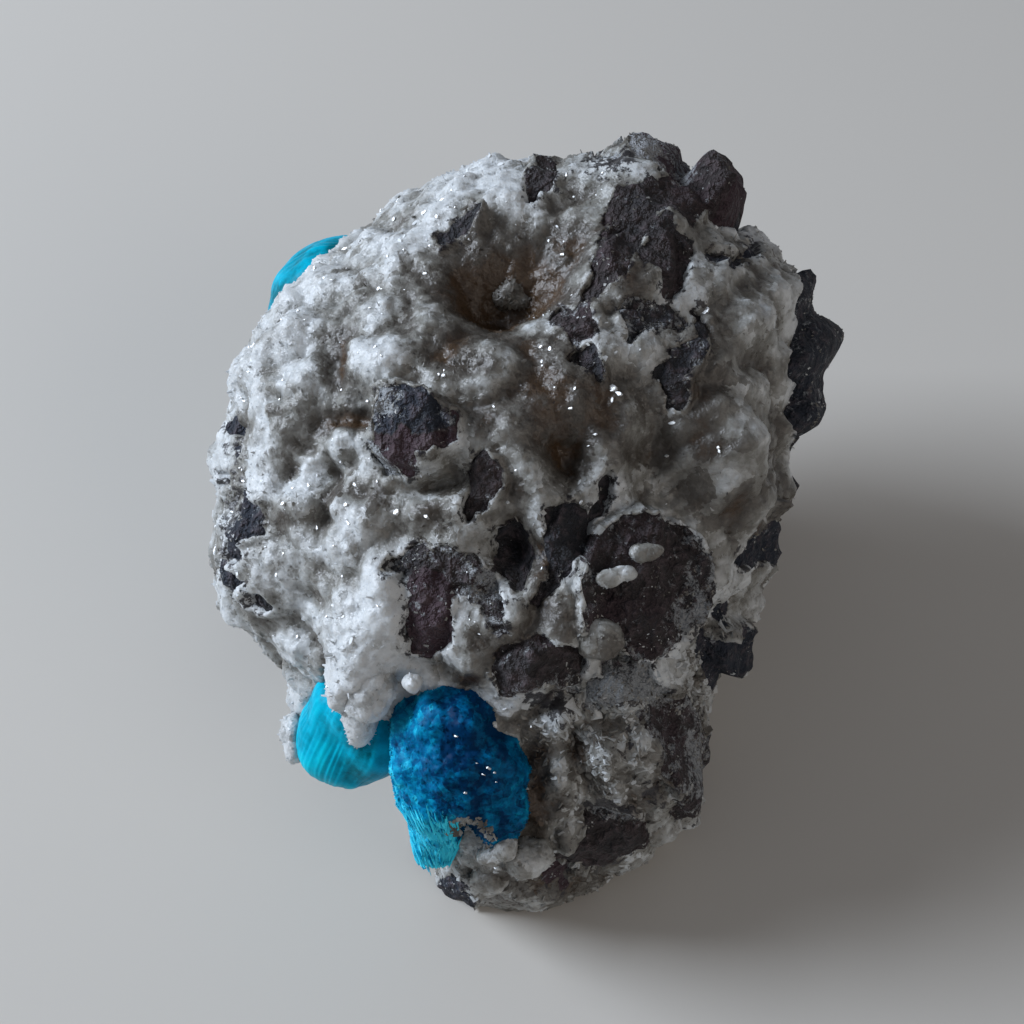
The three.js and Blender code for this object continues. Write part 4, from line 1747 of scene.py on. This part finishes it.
@dataclass(frozen=True)
class Cluster:
    """A cluster of cavansite balls grown together."""

    name: str
    slot: str
    balls: tuple[Ball, ...]
    habit: Habit
    finish: CavansiteBlades
    seed: int
    steps: int = 60
    blades: Growth = Growth(
        GRAIN, 6000, 0.26, 0.2, lean=0.35, bury=0.72, softness=0.85, shade=(0, 0.06)
    )
    knobs: Knobs = Knobs(1.6, 0.4, 0.6)
    fine: Knobs = Knobs(0.55, 0.14)
    broad: Relief = Relief(0.3, 3.5, 11)
    root: Triple = (0.35, 0.75, 0.55)  # where silky blades start
    fibres: Unevenness = Unevenness(0.5, 0.05)
    sheaves: Unevenness = Unevenness(0.8, 0.05)
    waves: Unevenness = Unevenness(1.5, 0.16)
    paling: Paling = SILKY_PALING
    probe_mm: float = 8.0  # over this height, its top is looked for
    probes: int = 161
    tuft: Growth = Growth(
        BLADE, 1000, 1.5, 0.24, flatness=(0.5, 0.9), lean=0.02, bury=0.6, softness=0.0
    )
    tuft_left: Pair = (4.2, 5.4)
    tuft_top: Pair = (18.2, 19.6)
    tuft_end: Pair = (-22.6, -21.6)
    tuft_way: Triple = (0.12, -1.0, 0.0)
    tuft_cling: float = 0.75  # how closely its blades lie along the skin
    # tints of the laid blades, pushed to the pale edge colour: their own bright cyan, partly painted
    # highlight of the lit fibres
    tuft_tint_and_highlight: Pair = (0.8, 1.4)

    def relief(self, places: Array, directions: Array) -> Array:
        """The skin's relief in millimetres over its plain shape.

        Args:
            places: places on the plain skin, in face coordinates.
            directions: their unit directions from the cluster's middle.

        Returns:
            One height for each place.
        """
        if self.habit is Habit.NODULAR:
            knobs = self.knobs.at(places, self.seed) + self.fine.at(places, self.seed + 1)
            return knobs + self.broad.at(places) - NOTCH.hollow(places)
        root = np.array(self.root) / np.linalg.norm(self.root)
        away = directions @ root
        side = unit(directions - away[:, None] * root)
        # fine across the blades, drawn out along them
        fibres = self.fibres.at(side * 9.0 + away[:, None] * 0.25, self.seed)
        sheaves = self.sheaves.at(side * 3.0 + away[:, None] * 0.3, self.seed + 1)
        return fibres + sheaves + self.waves.at(places, self.seed + 2)

    def top(self, stone: Stone, right: float, up: float) -> Array:
        """The place on the plain skin over a place on the face.

        Args:
            stone: the stone that the cluster grows on.
            right: how far right the place is.
            up: how far up it is.

        Returns:
            The place on the skin, in face coordinates too.
        """
        middle = self.balls[0].centre(stone)
        tries = middle[2] + np.linspace(0, self.probe_mm, self.probes)
        ways = np.array([(right, up, out) for out in tries]) - middle
        lengths = np.linalg.norm(ways, axis=1)
        inside = blended(self.balls, ways / lengths[:, None], stone) > lengths
        last = int(np.max(np.nonzero(inside)[0], initial=0))
        return middle + ways[last]

    def skin(self, stone: Stone) -> tuple[Array, Array, Array]:
        """The cluster's skin.

        Args:
            stone: the stone that it grows on.

        Returns:
            Its corners in face coordinates, their relief, and the corners of its triangles.
        """
        sphere, triangles = icosphere(self.steps)
        middle = self.balls[0].centre(stone)
        reach = blended(self.balls, sphere, stone)
        relief = self.relief(middle + sphere * reach[:, None], sphere)
        return middle + sphere * (reach + relief)[:, None], relief, triangles

    def build(self, stone: Stone) -> Object:
        """Builds the cluster's mesh and dresses it.

        Args:
            stone: the stone that it grows on.

        Returns:
            The piece.
        """
        face, relief, triangles = self.skin(stone)
        points = stone.to_row(face)
        tint = self.paling.tint(face, relief)
        parts = [round_facets(points, triangles, tint)]
        if self.habit is Habit.NODULAR:
            rng = default_rng(self.seed)
            count = self.blades.count
            seeds = scatter(rng, count, points, triangles, np.ones(len(points)))
            shade = seeds.of(tint) + rng.normal(*self.blades.shade, count)
            parts.append(self.blades.grow(rng, seeds, np.ones(count), shade))
            parts.append(self.tufts(rng, stone, face, triangles))
        piece = make_joined(self.name, parts, "tint", self.finish.build())
        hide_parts(self.name)
        return piece

    def tufts(self, rng: Generator, stone: Stone, face: Array, triangles: Array) -> Facets:
        """Lays long bright blades side by side down the lower left of the cluster.

        Args:
            rng: the source of the draws.
            stone: the stone that they grow on.
            face: the cluster's corners in face coordinates.
            triangles: the cluster's triangles.

        Returns:
            The blades.
        """
        low = smoothstep(-face[:, 1], *self.tuft_top) * smoothstep(-face[:, 0], *self.tuft_left)
        low *= smoothstep(face[:, 1], *self.tuft_end)
        seeds = scatter(rng, self.tuft.count, stone.to_row(face), triangles, low + TINY)
        down = stone.axes().T @ np.array(self.tuft_way)
        ways = unit(down - seeds.ways * (seeds.ways @ down)[:, None] * self.tuft_cling)
        laid = Seeds(seeds.shares, seeds.corners, seeds.roots, ways)
        shade = rng.uniform(*self.tuft_tint_and_highlight, self.tuft.count)
        return self.tuft.grow(rng, laid, np.ones(self.tuft.count), shade)


def round_facets(points: Array, triangles: Array, mark: Array) -> Facets:
    """A mesh that is shaded round."""
    normals = corner_normals(points, triangles)[triangles]
    return Facets(points, triangles, mark, normals.reshape(-1, 3))


def make_joined(name: str, parts: Sequence[Facets], mark: str, material: Material) -> Object:
    """Joins meshes to one piece.

    Args:
        name: the piece's name.
        parts: the meshes.
        mark: the attribute name of their marks.
        material: the piece's finish.

    Returns:
        The piece.
    """
    offsets = np.cumsum([0, *(len(part.points) for part in parts[:-1])])
    points = np.vstack([part.points for part in parts])
    triangles = np.vstack([part.triangles + offset for part, offset in zip(parts, offsets)])
    values = np.concatenate([part.mark for part in parts])
    normals = np.vstack([part.normals for part in parts])
    return make_piece(name, points, triangles, material, {mark: values}, normals)


# ---- Rock and crust ----


@dataclass(frozen=True)
class RockMatrix:
    """The basalt, whose rough skin shows wherever the crust is missing."""

    stone: Stone
    finish: WeatheredBasalt = WeatheredBasalt()
    steps: int = 90
    edge: Pair = (0.75, 1.2)
    shelf: Pair = (-1.3, -0.3)
    recess: float = 0.45
    clearance: float = 0.4  # no crystals grow nearer to the base than this
    frost: Growth = Growth(GRAIN, 2600, 0.24, 0.2, lean=0.5, bury=0.6, softness=0.85)
    frost_sizes: Pair = (0.5, 1.1)
    frost_shade: Pair = (0.25, 0.75)
    frost_rim: float = 0.2  # more of it at the edges of the windows
    drift_mm: float = 1.1
    drift_pull: float = 1.3
    drift: Pair = (0.2, 0.9)
    open_rock: Pair = (0.6, 0.9)
    covered_bumps: float = 0.4  # parts of the relief that rock under the crust has
    covered_chips: float = 0.3
    chip_level: float = 0.35
    chip_mm: float = 2.6
    chip_height: float = 1.1
    chip_top: float = 0.78  # where the ridges between chips are broken off, as a part of their size
    flake_mm: float = 1.0
    flake_height: float = 0.4
    grit: Unevenness = Unevenness(0.4, 0.08)
    seed: int = 2600

    def lift(self, places: Places) -> tuple[Array, Rock]:
        """Height of the rock over the smooth stone.

        Args:
            places: places on the stone.

        Returns:
            The height, and what shows of the rock at each place.
        """
        stone = self.stone
        block = stone.outcrops(places, self.edge, bare_only=False)
        window = stone.windows(places, self.shelf)
        share = np.maximum(block.share, window.share)
        bumps = stone.rock_bumps.at(places.point) * mixed(self.covered_bumps, 1.0, share)
        large = nearness(places.point, self.chip_mm, 21)
        small = nearness(places.point + 0.3 * large[:, None], self.flake_mm, 23)
        large = np.minimum(large, self.chip_top)
        rough = self.chip_height * (large**2 - self.chip_level)
        rough += self.flake_height * (small**2 - self.chip_level)
        rough += self.grit.at(places.point, 22)
        level = np.maximum(
            mixed(-stone.crust_thickness, block.lift, block.share),
            mixed(-stone.crust_thickness, window.lift - self.recess, window.share),
        )
        rough *= mixed(self.covered_chips, 1.0, share) * (1 - share_of(WORN, places))
        height = stone.shared_lift(places) + bumps + rough + level
        inner = stone.windows(places, (0.0, 1.0)).share
        shown = window.share > 0
        tone = np.where(shown, window.tone, np.where(block.share > 0, block.tone, Tone.BROWN.value))
        frost = np.where(shown, window.frost + self.frost_rim * (1 - inner), block.frost)
        return height, Rock(share, level, tone, frost)

    def build(self, dust: Material) -> list[Object]:
        """Builds the rock's mesh and the crystals that dust it.

        Args:
            dust: the finish of the crystals.

        Returns:
            The rock and its dust.
        """
        places, triangles = self.stone.even_places(self.steps)
        height, rock = self.lift(places)
        frost = np.clip(rock.frost + share_of(FROSTED, places), 0, 1)
        marks = {"tone": rock.tone, "frost": frost}
        points = self.stone.skin(places, height)
        body = make_piece("basalt_matrix_rock", points, triangles, self.finish.build(), marks)
        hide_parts("basalt_matrix")
        drifts = grain(places.point, self.drift_mm, 24) + self.drift_pull * frost
        drifts = smoothstep(drifts, *self.drift)
        weight = drifts * smoothstep(rock.share, *self.open_rock) * (points[:, 2] > self.clearance)
        rng = default_rng(self.seed)
        seeds = scatter(rng, self.frost.count, points, triangles, weight + TINY)
        shade = rng.uniform(*self.frost_shade, self.frost.count)
        sizes = rng.uniform(*self.frost_sizes, self.frost.count)
        grown = self.frost.grow(rng, seeds, sizes, shade)
        frosting = make_joined("basalt_frosting", [grown], "stain", dust)
        return [body, frosting]


@dataclass(frozen=True)
class Skin:
    """A crust's places on the stone, its corners and triangles and, at each corner, how far it
    stands over the rock and how stained it is, with painted shade and painted light in that stain.
    """

    places: Places
    points: Array
    triangles: Array
    over_rock: Array
    stain: Array


@dataclass(frozen=True)
class DruseCrust:
    """The white crust, its cushions and the crystals on it."""

    stone: Stone
    rock: RockMatrix
    clusters: tuple[Cluster, ...]
    facets: Material
    mass: ZeoliteDruse = ZeoliteDruse("zeolite_druse")
    steps: int = 97
    cushion_steps: int = 22
    edge: Pair = (-0.3, 0.15)
    bare_edge: Pair = (0.92, 1.12)
    rim: Pair = (-1.0, -0.1)
    least_film: float = 0.12
    tuck: float = 0.5
    knobs: Knobs = Knobs(1.7, 0.5)
    fine: Knobs = Knobs(0.85, 0.32)
    base_clearance: float = 0.03
    clearance: float = 0.4  # no crystals grow nearer to the base than this
    least_stain: float = 0.04
    hollow_shade: float = 0.6
    hollow: Pair = (-0.3, 0.9)
    rim_thinness: float = 0.54
    smoothness: float = 0.9
    grown_film: float = 0.03  # the thinnest crust that crystals grow on
    speckled_most: float = 0.65  # they leave crust bare that shows more rock than this
    front_span: Pair = (-0.5, 0.1)
    back_size: float = 1.5  # how much coarser the crystals behind are
    back_grains: float = 0.35  # how thickly they stand there, as parts of that in front
    back_blades: float = 0.3
    smooth_grains: float = -0.6  # what smooth and sugary crust add to their number
    sugary_grains: float = 1.2
    least_blades: float = 0.15
    least_spray: float = 0.03
    behind: float = 0.02  # the pieces are parted where the crust faces away,
    middle: float = -1.5  # and in front at this place across the face
    grains: Growth = Growth(GRAIN, 9800, 0.3, 0.3, lean=0.2, bury=0.78, softness=0.75)
    blades: Growth = Growth(BLADE, 1500, 0.42, 0.16, lean=0.4, bury=0.72, softness=0.6)
    spray: Growth = Growth(BLADE, 220, 0.8, 0.24, lean=0.45, bury=0.64, softness=0.2)
    blocks: Growth = Growth(
        GRAIN, 1000, 0.48, 0.52, lean=0.35, bury=0.68, softness=0.55, shade=(-0.12, 0.2)
    )
    sugar: Growth = Growth(GRAIN, 420, 0.34, 0.26, lean=0.5, bury=0.5, softness=0.6)
    glints: Growth = Growth(
        TABLET, 170, 0.3, 0.12, flatness=(1.2, 2.8), lean=0.06, bury=0.75, spread=0.4, softness=0
    )
    glint_sizes: Pair = (0.6, 1.3)
    glint_film: float = 0.1
    ball_glint: float = 0.75
    ball_glint_lift: float = 0.2
    window_way: Triple = (-0.83, 0.16, 0.52)
    mirrored: Pair = (0.55, 0.8)
    cushion_knobs: Knobs = Knobs(0.9, 0.3)
    cushion_waves: Unevenness = Unevenness(1.3, 0.15)
    ring_sizes: Pair = (0.6, 1.4)
    ring_stain: Pair = (0.35, 0.75)
    seed: int = 5

    @property
    def rosette(self) -> Cluster:
        """The nodular cluster."""
        return next(cluster for cluster in self.clusters if cluster.habit is Habit.NODULAR)

    def lift(self, places: Places) -> tuple[Array, Array, Array]:
        """Height of the crust over the smooth stone.

        Args:
            places: places on the stone.

        Returns:
            The height, how far it stands over the rock, and its stain with painted shade and painted
            light.
        """
        stone = self.stone
        rock, _ = self.rock.lift(places)
        window = stone.windows(places, self.edge)
        bare = stone.outcrops(places, self.bare_edge, bare_only=True)
        share = np.maximum(window.share, bare.share)
        lumps = np.abs(stone.crust_lumps.at(places.point))
        lumps -= stone.crust_lumps.height * stone.lump_mean
        own = lumps + stone.crust_bumps.at(places.point)
        own += self.knobs.at(places.point, 31) + self.fine.at(places.point, 32)
        own = raised(own, SWELLINGS, places)
        over = np.maximum(stone.shared_lift(places) + own, rock + self.least_film)
        height = mixed(over, rock - self.tuck - bare.share, share)
        # rust and painted shade from the stained spots, less painted light from the clean and lit
        # ones
        stain = share_of(STAINED_AND_SHADED, places) - share_of(CLEAN_AND_LIT, places)
        # darker where the crust's own relief dips: painted shade in its hollows
        stain += self.least_stain + self.hollow_shade * smoothstep(-own, *self.hollow)
        return height, height - rock, stain

    def build(self) -> list[Object]:
        """Builds the crust, its cushions and its crystals and dresses them.

        Returns:
            The pieces.
        """
        places, triangles = self.stone.even_places(self.steps)
        height, over_rock, stain = self.lift(places)
        points = self.stone.skin(places, height)
        points[:, 2] = np.maximum(points[:, 2], self.base_clearance)
        rims = self.stone.windows(places, self.rim).share
        marks = {
            "stain": stain,
            "thin": np.maximum(share_of(SPECKLED, places), self.rim_thinness * rims),
            "smooth": self.smoothness * share_of(SMOOTH, places),
        }
        crust = make_piece("zeolite_crust_skin", points, triangles, self.mass.build(), marks)
        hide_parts("zeolite_crust")
        skin = Skin(places, points, triangles, over_rock, stain)
        pieces = [crust, *self.cover(skin), *self.cushions(), self.tablets(skin)]
        return pieces

    def cover(self, skin: Skin) -> list[Object]:
        """Covers the crust with crystals.

        Args:
            skin: the crust.

        Returns:
            One piece for each side.
        """
        rng = default_rng(self.seed)
        places = skin.places
        open_crust = (skin.over_rock > self.grown_film) & (skin.points[:, 2] > self.clearance)
        open_crust &= share_of(SPECKLED, places) < self.speckled_most
        for cluster in self.clusters:
            for ball in cluster.balls:
                open_crust &= ball.reach(self.stone, places.point) > 1.0
        smooth, bladed, sugary = (share_of(patches, places) for patches in (SMOOTH, BLADED, SUGARY))
        front = smoothstep(places.facing, *self.front_span)
        grained = 1 + self.smooth_grains * smooth + self.sugary_grains * sugary
        blades = (self.least_blades + bladed) * mixed(self.back_blades, 1.0, front)
        # each kind of crystal, and how thickly it grows at each corner
        plans = (
            (self.grains, mixed(self.back_grains, 1.0, front) * grained),
            (self.blades, blades * (1 - smooth)),
            (self.spray, bladed**2 + self.least_spray),
            (self.blocks, sugary * front),
        )
        sides: dict[str, list[Facets]] = {"left": [], "right": [], "back": []}
        for growth, weight in plans:
            seeds = scatter(rng, growth.count, skin.points, skin.triangles, open_crust * weight)
            scale = mixed(self.back_size, 1.0, seeds.of(front))
            own = seeds.of(skin.stain) + rng.normal(*growth.shade, growth.count)
            behind = seeds.of(places.facing) < self.behind
            left = seeds.of(places.right) < self.middle
            for parts, mine in zip(sides.values(), (~behind & left, ~behind & ~left, behind)):
                parts.append(growth.grow(rng, seeds.where(mine), scale[mine], own[mine]))
        return [
            make_joined(f"druse_crystals_{side}", parts, "stain", self.facets)
            for side, parts in sides.items()
        ]

    def tablets(self, skin: Skin) -> Object:
        """Sets the few broad faces that stand so that they mirror the window.

        Args:
            skin: the crust.

        Returns:
            The piece.
        """
        rng = default_rng(self.seed + 2)
        mirror = self.stone.axes()[2] + np.array(self.window_way)
        mirror /= np.linalg.norm(mirror)
        places, points = skin.places, skin.points
        turned = smoothstep(corner_normals(points, skin.triangles) @ mirror, *self.mirrored)
        weight = turned * (skin.over_rock > self.glint_film) * (points[:, 2] > self.clearance)
        seeds = scatter(rng, self.glints.count, points, skin.triangles, weight + TINY)
        flat = np.stack([places.right, places.up], axis=1)
        large = [
            int(np.argmin(np.linalg.norm(flat - [right, up], axis=1) + FAR * (places.facing < 0)))
            for right, up, _ in GLINTS
        ]
        lift = [0, 0, self.ball_glint_lift]
        on_ball = [self.rosette.top(self.stone, right, up) + lift for right, up in BALL_GLINTS]
        roots = np.vstack([seeds.roots, points[large], self.stone.to_row(on_ball)])
        sizes = [size for _, _, size in GLINTS] + [self.ball_glint] * len(BALL_GLINTS)
        scale = np.concatenate([rng.uniform(*self.glint_sizes, self.glints.count), sizes])
        count = len(roots)
        none = np.zeros((count, 3))
        stood = Seeds(none, none.astype(int), roots, np.tile(mirror, (count, 1)))
        grown = self.glints.grow(rng, stood, scale, np.zeros(count))
        return make_joined("druse_tablets", [grown], "stain", CLEAVAGE.build())

    def cushions(self) -> list[Object]:
        """Builds the small cushions of crystals that lie over rock and cavansite.

        Returns:
            The cushions and the crystals on them.
        """
        rng = default_rng(self.seed + 1)
        sphere, facets = icosphere(self.cushion_steps)
        skins, crystals = [], []
        for cushion in CUSHIONS.values():
            middle = cushion.balls[0].centre(self.stone)
            reach = blended(cushion.balls, sphere, self.stone)
            places = middle + sphere * reach[:, None]
            height = self.cushion_knobs.at(places, 41) + self.cushion_waves.at(places, 42)
            points = self.stone.to_row(places + sphere * height[:, None])
            skins.append(round_facets(points, facets, np.full(len(points), cushion.stain)))
            seeds = scatter(rng, cushion.crystals, points, facets, np.ones(len(points)))
            own = cushion.stain + rng.normal(0, cushion.stain_spread, cushion.crystals)
            growth = self.sugar if cushion.sugary else self.blades
            crystals.append(growth.grow(rng, seeds, np.ones(cushion.crystals), own))
        face, _, facets = self.rosette.skin(self.stone)
        count = self.sugar.count
        seeds = scatter(rng, count, self.stone.to_row(face), facets, NOTCH.ring(face))
        own = rng.uniform(*self.ring_stain, count)
        sizes = rng.uniform(*self.ring_sizes, count)
        crystals.append(self.sugar.grow(rng, seeds, sizes, own))
        return [
            make_joined("druse_cushions", skins, "stain", self.mass.build()),
            make_joined("cushion_crystals", crystals, "stain", self.facets),
        ]


# ---- Studio ----


@dataclass(frozen=True)
class Lamp:
    """A square soft box that looks at the stone."""

    name: str
    place: Triple
    side: float
    watts: float
    colour: str


@dataclass(frozen=True)
class Studio:
    """A pale floor, soft boxes and a camera square to the best face."""

    stone: Stone
    lens: float = 60.0
    sensor: float = 36.0
    nearest: float = 0.005
    floor_reach: float = 3.0
    floor_colour: str = "#c9c5be"
    floor_roughness: float = 0.9
    sky: str = "#c3c8d2"
    sky_strength: float = 0.3
    lamps: tuple[Lamp, ...] = (
        Lamp("window", (-0.54, 0.1, 0.34), 0.3, 5.5, "#e7f1ff"),
        Lamp("fill", (0.5, -0.5, 0.4), 0.5, 1.1, "#fff1e2"),
    )

    def build(self) -> None:
        """Builds the floor, the lamps and the camera."""
        self.lay_floor()
        for lamp in self.lamps:
            self.hang(lamp)
        self.light_sky()
        self.set_camera()

    def lay_floor(self) -> None:
        """Lays a plain floor that reaches past every view."""
        reach = self.floor_reach
        mesh = bpy.data.meshes.new("floor")
        corners = [(-reach, -reach, 0), (reach, -reach, 0), (reach, reach, 0), (-reach, reach, 0)]
        mesh.from_pydata(corners, [], [(0, 1, 2, 3)])
        material, tree = new_material("matte_board")
        board = {"Base Color": linear(self.floor_colour), "Roughness": self.floor_roughness}
        shader = add_node(tree, "BsdfPrincipled", board)
        add_node(tree, "OutputMaterial", links={"Surface": shader})
        mesh.materials.append(material)
        floor = bpy.data.objects.new("floor", mesh)
        bpy.context.scene.collection.objects.link(floor)

    def hang(self, lamp: Lamp) -> None:
        """Hangs one soft box and turns it to the stone.

        Args:
            lamp: the soft box.
        """
        light = bpy.data.lights.new(lamp.name, "AREA")
        light.shape = "SQUARE"
        light.size = lamp.side
        light.energy = lamp.watts
        light.color = linear(lamp.colour)[:3]
        box = bpy.data.objects.new(lamp.name, light)
        box.location = lamp.place
        aim = Vector(self.stone.centre) * MM - Vector(lamp.place)
        box.rotation_euler = aim.to_track_quat("-Z", "Y").to_euler()
        bpy.context.scene.collection.objects.link(box)

    def light_sky(self) -> None:
        """Sets the even light from all round."""
        world = bpy.data.worlds.new("studio")
        world.use_nodes = True
        background = world.node_tree.nodes["Background"]
        background.inputs["Color"].default_value = linear(self.sky)
        background.inputs["Strength"].default_value = self.sky_strength
        bpy.context.scene.world = world
        bpy.context.scene.view_settings.view_transform = "Standard"

    def set_camera(self) -> None:
        """Puts the camera at the eye that the face coordinates are given for."""
        data = bpy.data.cameras.new("camera")
        data.lens = self.lens
        data.sensor_width = self.sensor
        data.clip_start = self.nearest
        camera = bpy.data.objects.new("camera", data)
        camera.location = self.stone.to_row(np.array([self.stone.eye]))[0] * MM
        camera.rotation_euler = Vector(-self.stone.axes()[2]).to_track_quat("-Z", "Y").to_euler()
        bpy.context.scene.collection.objects.link(camera)
        bpy.context.scene.camera = camera


# ---- The specimen ----

CRYSTAL = ZeoliteDruse("zeolite_crystal", clean="#c4c8ca", roughness=0.38, scatter=0, bump_mm=0)
CLEAVAGE = ZeoliteDruse("zeolite_cleavage", clean="#e4e8ea", roughness=0.12, scatter=0, bump_mm=0)
DEEP_BLUE = CavansiteBlades("cavansite_blue", "#002f56", "#006494", "#0c9cc6", "#40d8f4")
TEAL = CavansiteBlades(
    "cavansite_teal", "#006876", "#00a8c6", "#06c4da", "#3ce0ec",
    roughness=0.36, powder=0.9, patch=0.15,
)

CLUSTERS = (
    Cluster(
        "cavansite_front_ball", "cavansite_blue",
        (
            Ball(-5.1, -16.2, 0.8, (3.8, 3.8, 3.3)),
            Ball(-2.7, -17.5, 0.7, (2.1, 2.5, 2.4)),
            Ball(-4.8, -14.2, 0.5, (2.1, 2.2, 2.1)),
            Ball(-5.4, -19.2, 0.2, (2.8, 2.5, 2.7)),
            Ball(-6.2, -21, -0.5, (1.7, 2.7, 2.1)),
            Ball(-1.9, -20.2, 0.3, (1.8, 2.3, 1.9)),
            Ball(-7.5, -13.9, 0.2, (1.7, 1.9, 1.9)),
        ),
        Habit.NODULAR, DEEP_BLUE, seed=11, paling=Paling(),
    ),
    Cluster(
        "cavansite_left_fan", "cavansite_teal",
        (
            Ball(-12.5, -15.8, -2.2, (3.3, 2.7, 2.4)),
            Ball(-13.7, -14.2, -0.3, (1.9, 2.0, 1.9)),
            Ball(-13.7, -12.8, 1.8, (1.3, 2.0, 1.7)),
            Ball(-10.4, -15.2, 0.2, (2.1, 2.4, 2)),
            Ball(-11.9, -13.3, 0.2, (1.7, 1.9, 1.7)),
        ),
        Habit.SILKY, TEAL, seed=12, steps=46,
    ),
    Cluster(
        "cavansite_back_ball", "cavansite_teal",
        (Ball(-12.5, 14.3, 16, (5.9, 5.9, 6)),),
        Habit.SILKY, TEAL, seed=13, steps=46, paling=replace(SILKY_PALING, body=-0.06),
    ),
)


def corners(box: tuple[Vector, Vector]) -> list[list[float]]:
    """A box's two corners as plain lists."""
    return [list(box[0]), list(box[1])]


def main() -> None:
    """Builds the specimen and its studio."""
    logging.basicConfig(level=logging.INFO, format="%(name)s %(message)s")
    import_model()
    stone = Stone()
    Studio(stone).build()
    crystal = CRYSTAL.build()
    rock = RockMatrix(stone)
    rock.build(crystal)
    for cluster in CLUSTERS:
        cluster.build(stone)
    DruseCrust(stone, rock, CLUSTERS, crystal).build()


if __name__ == "__main__":
    main()
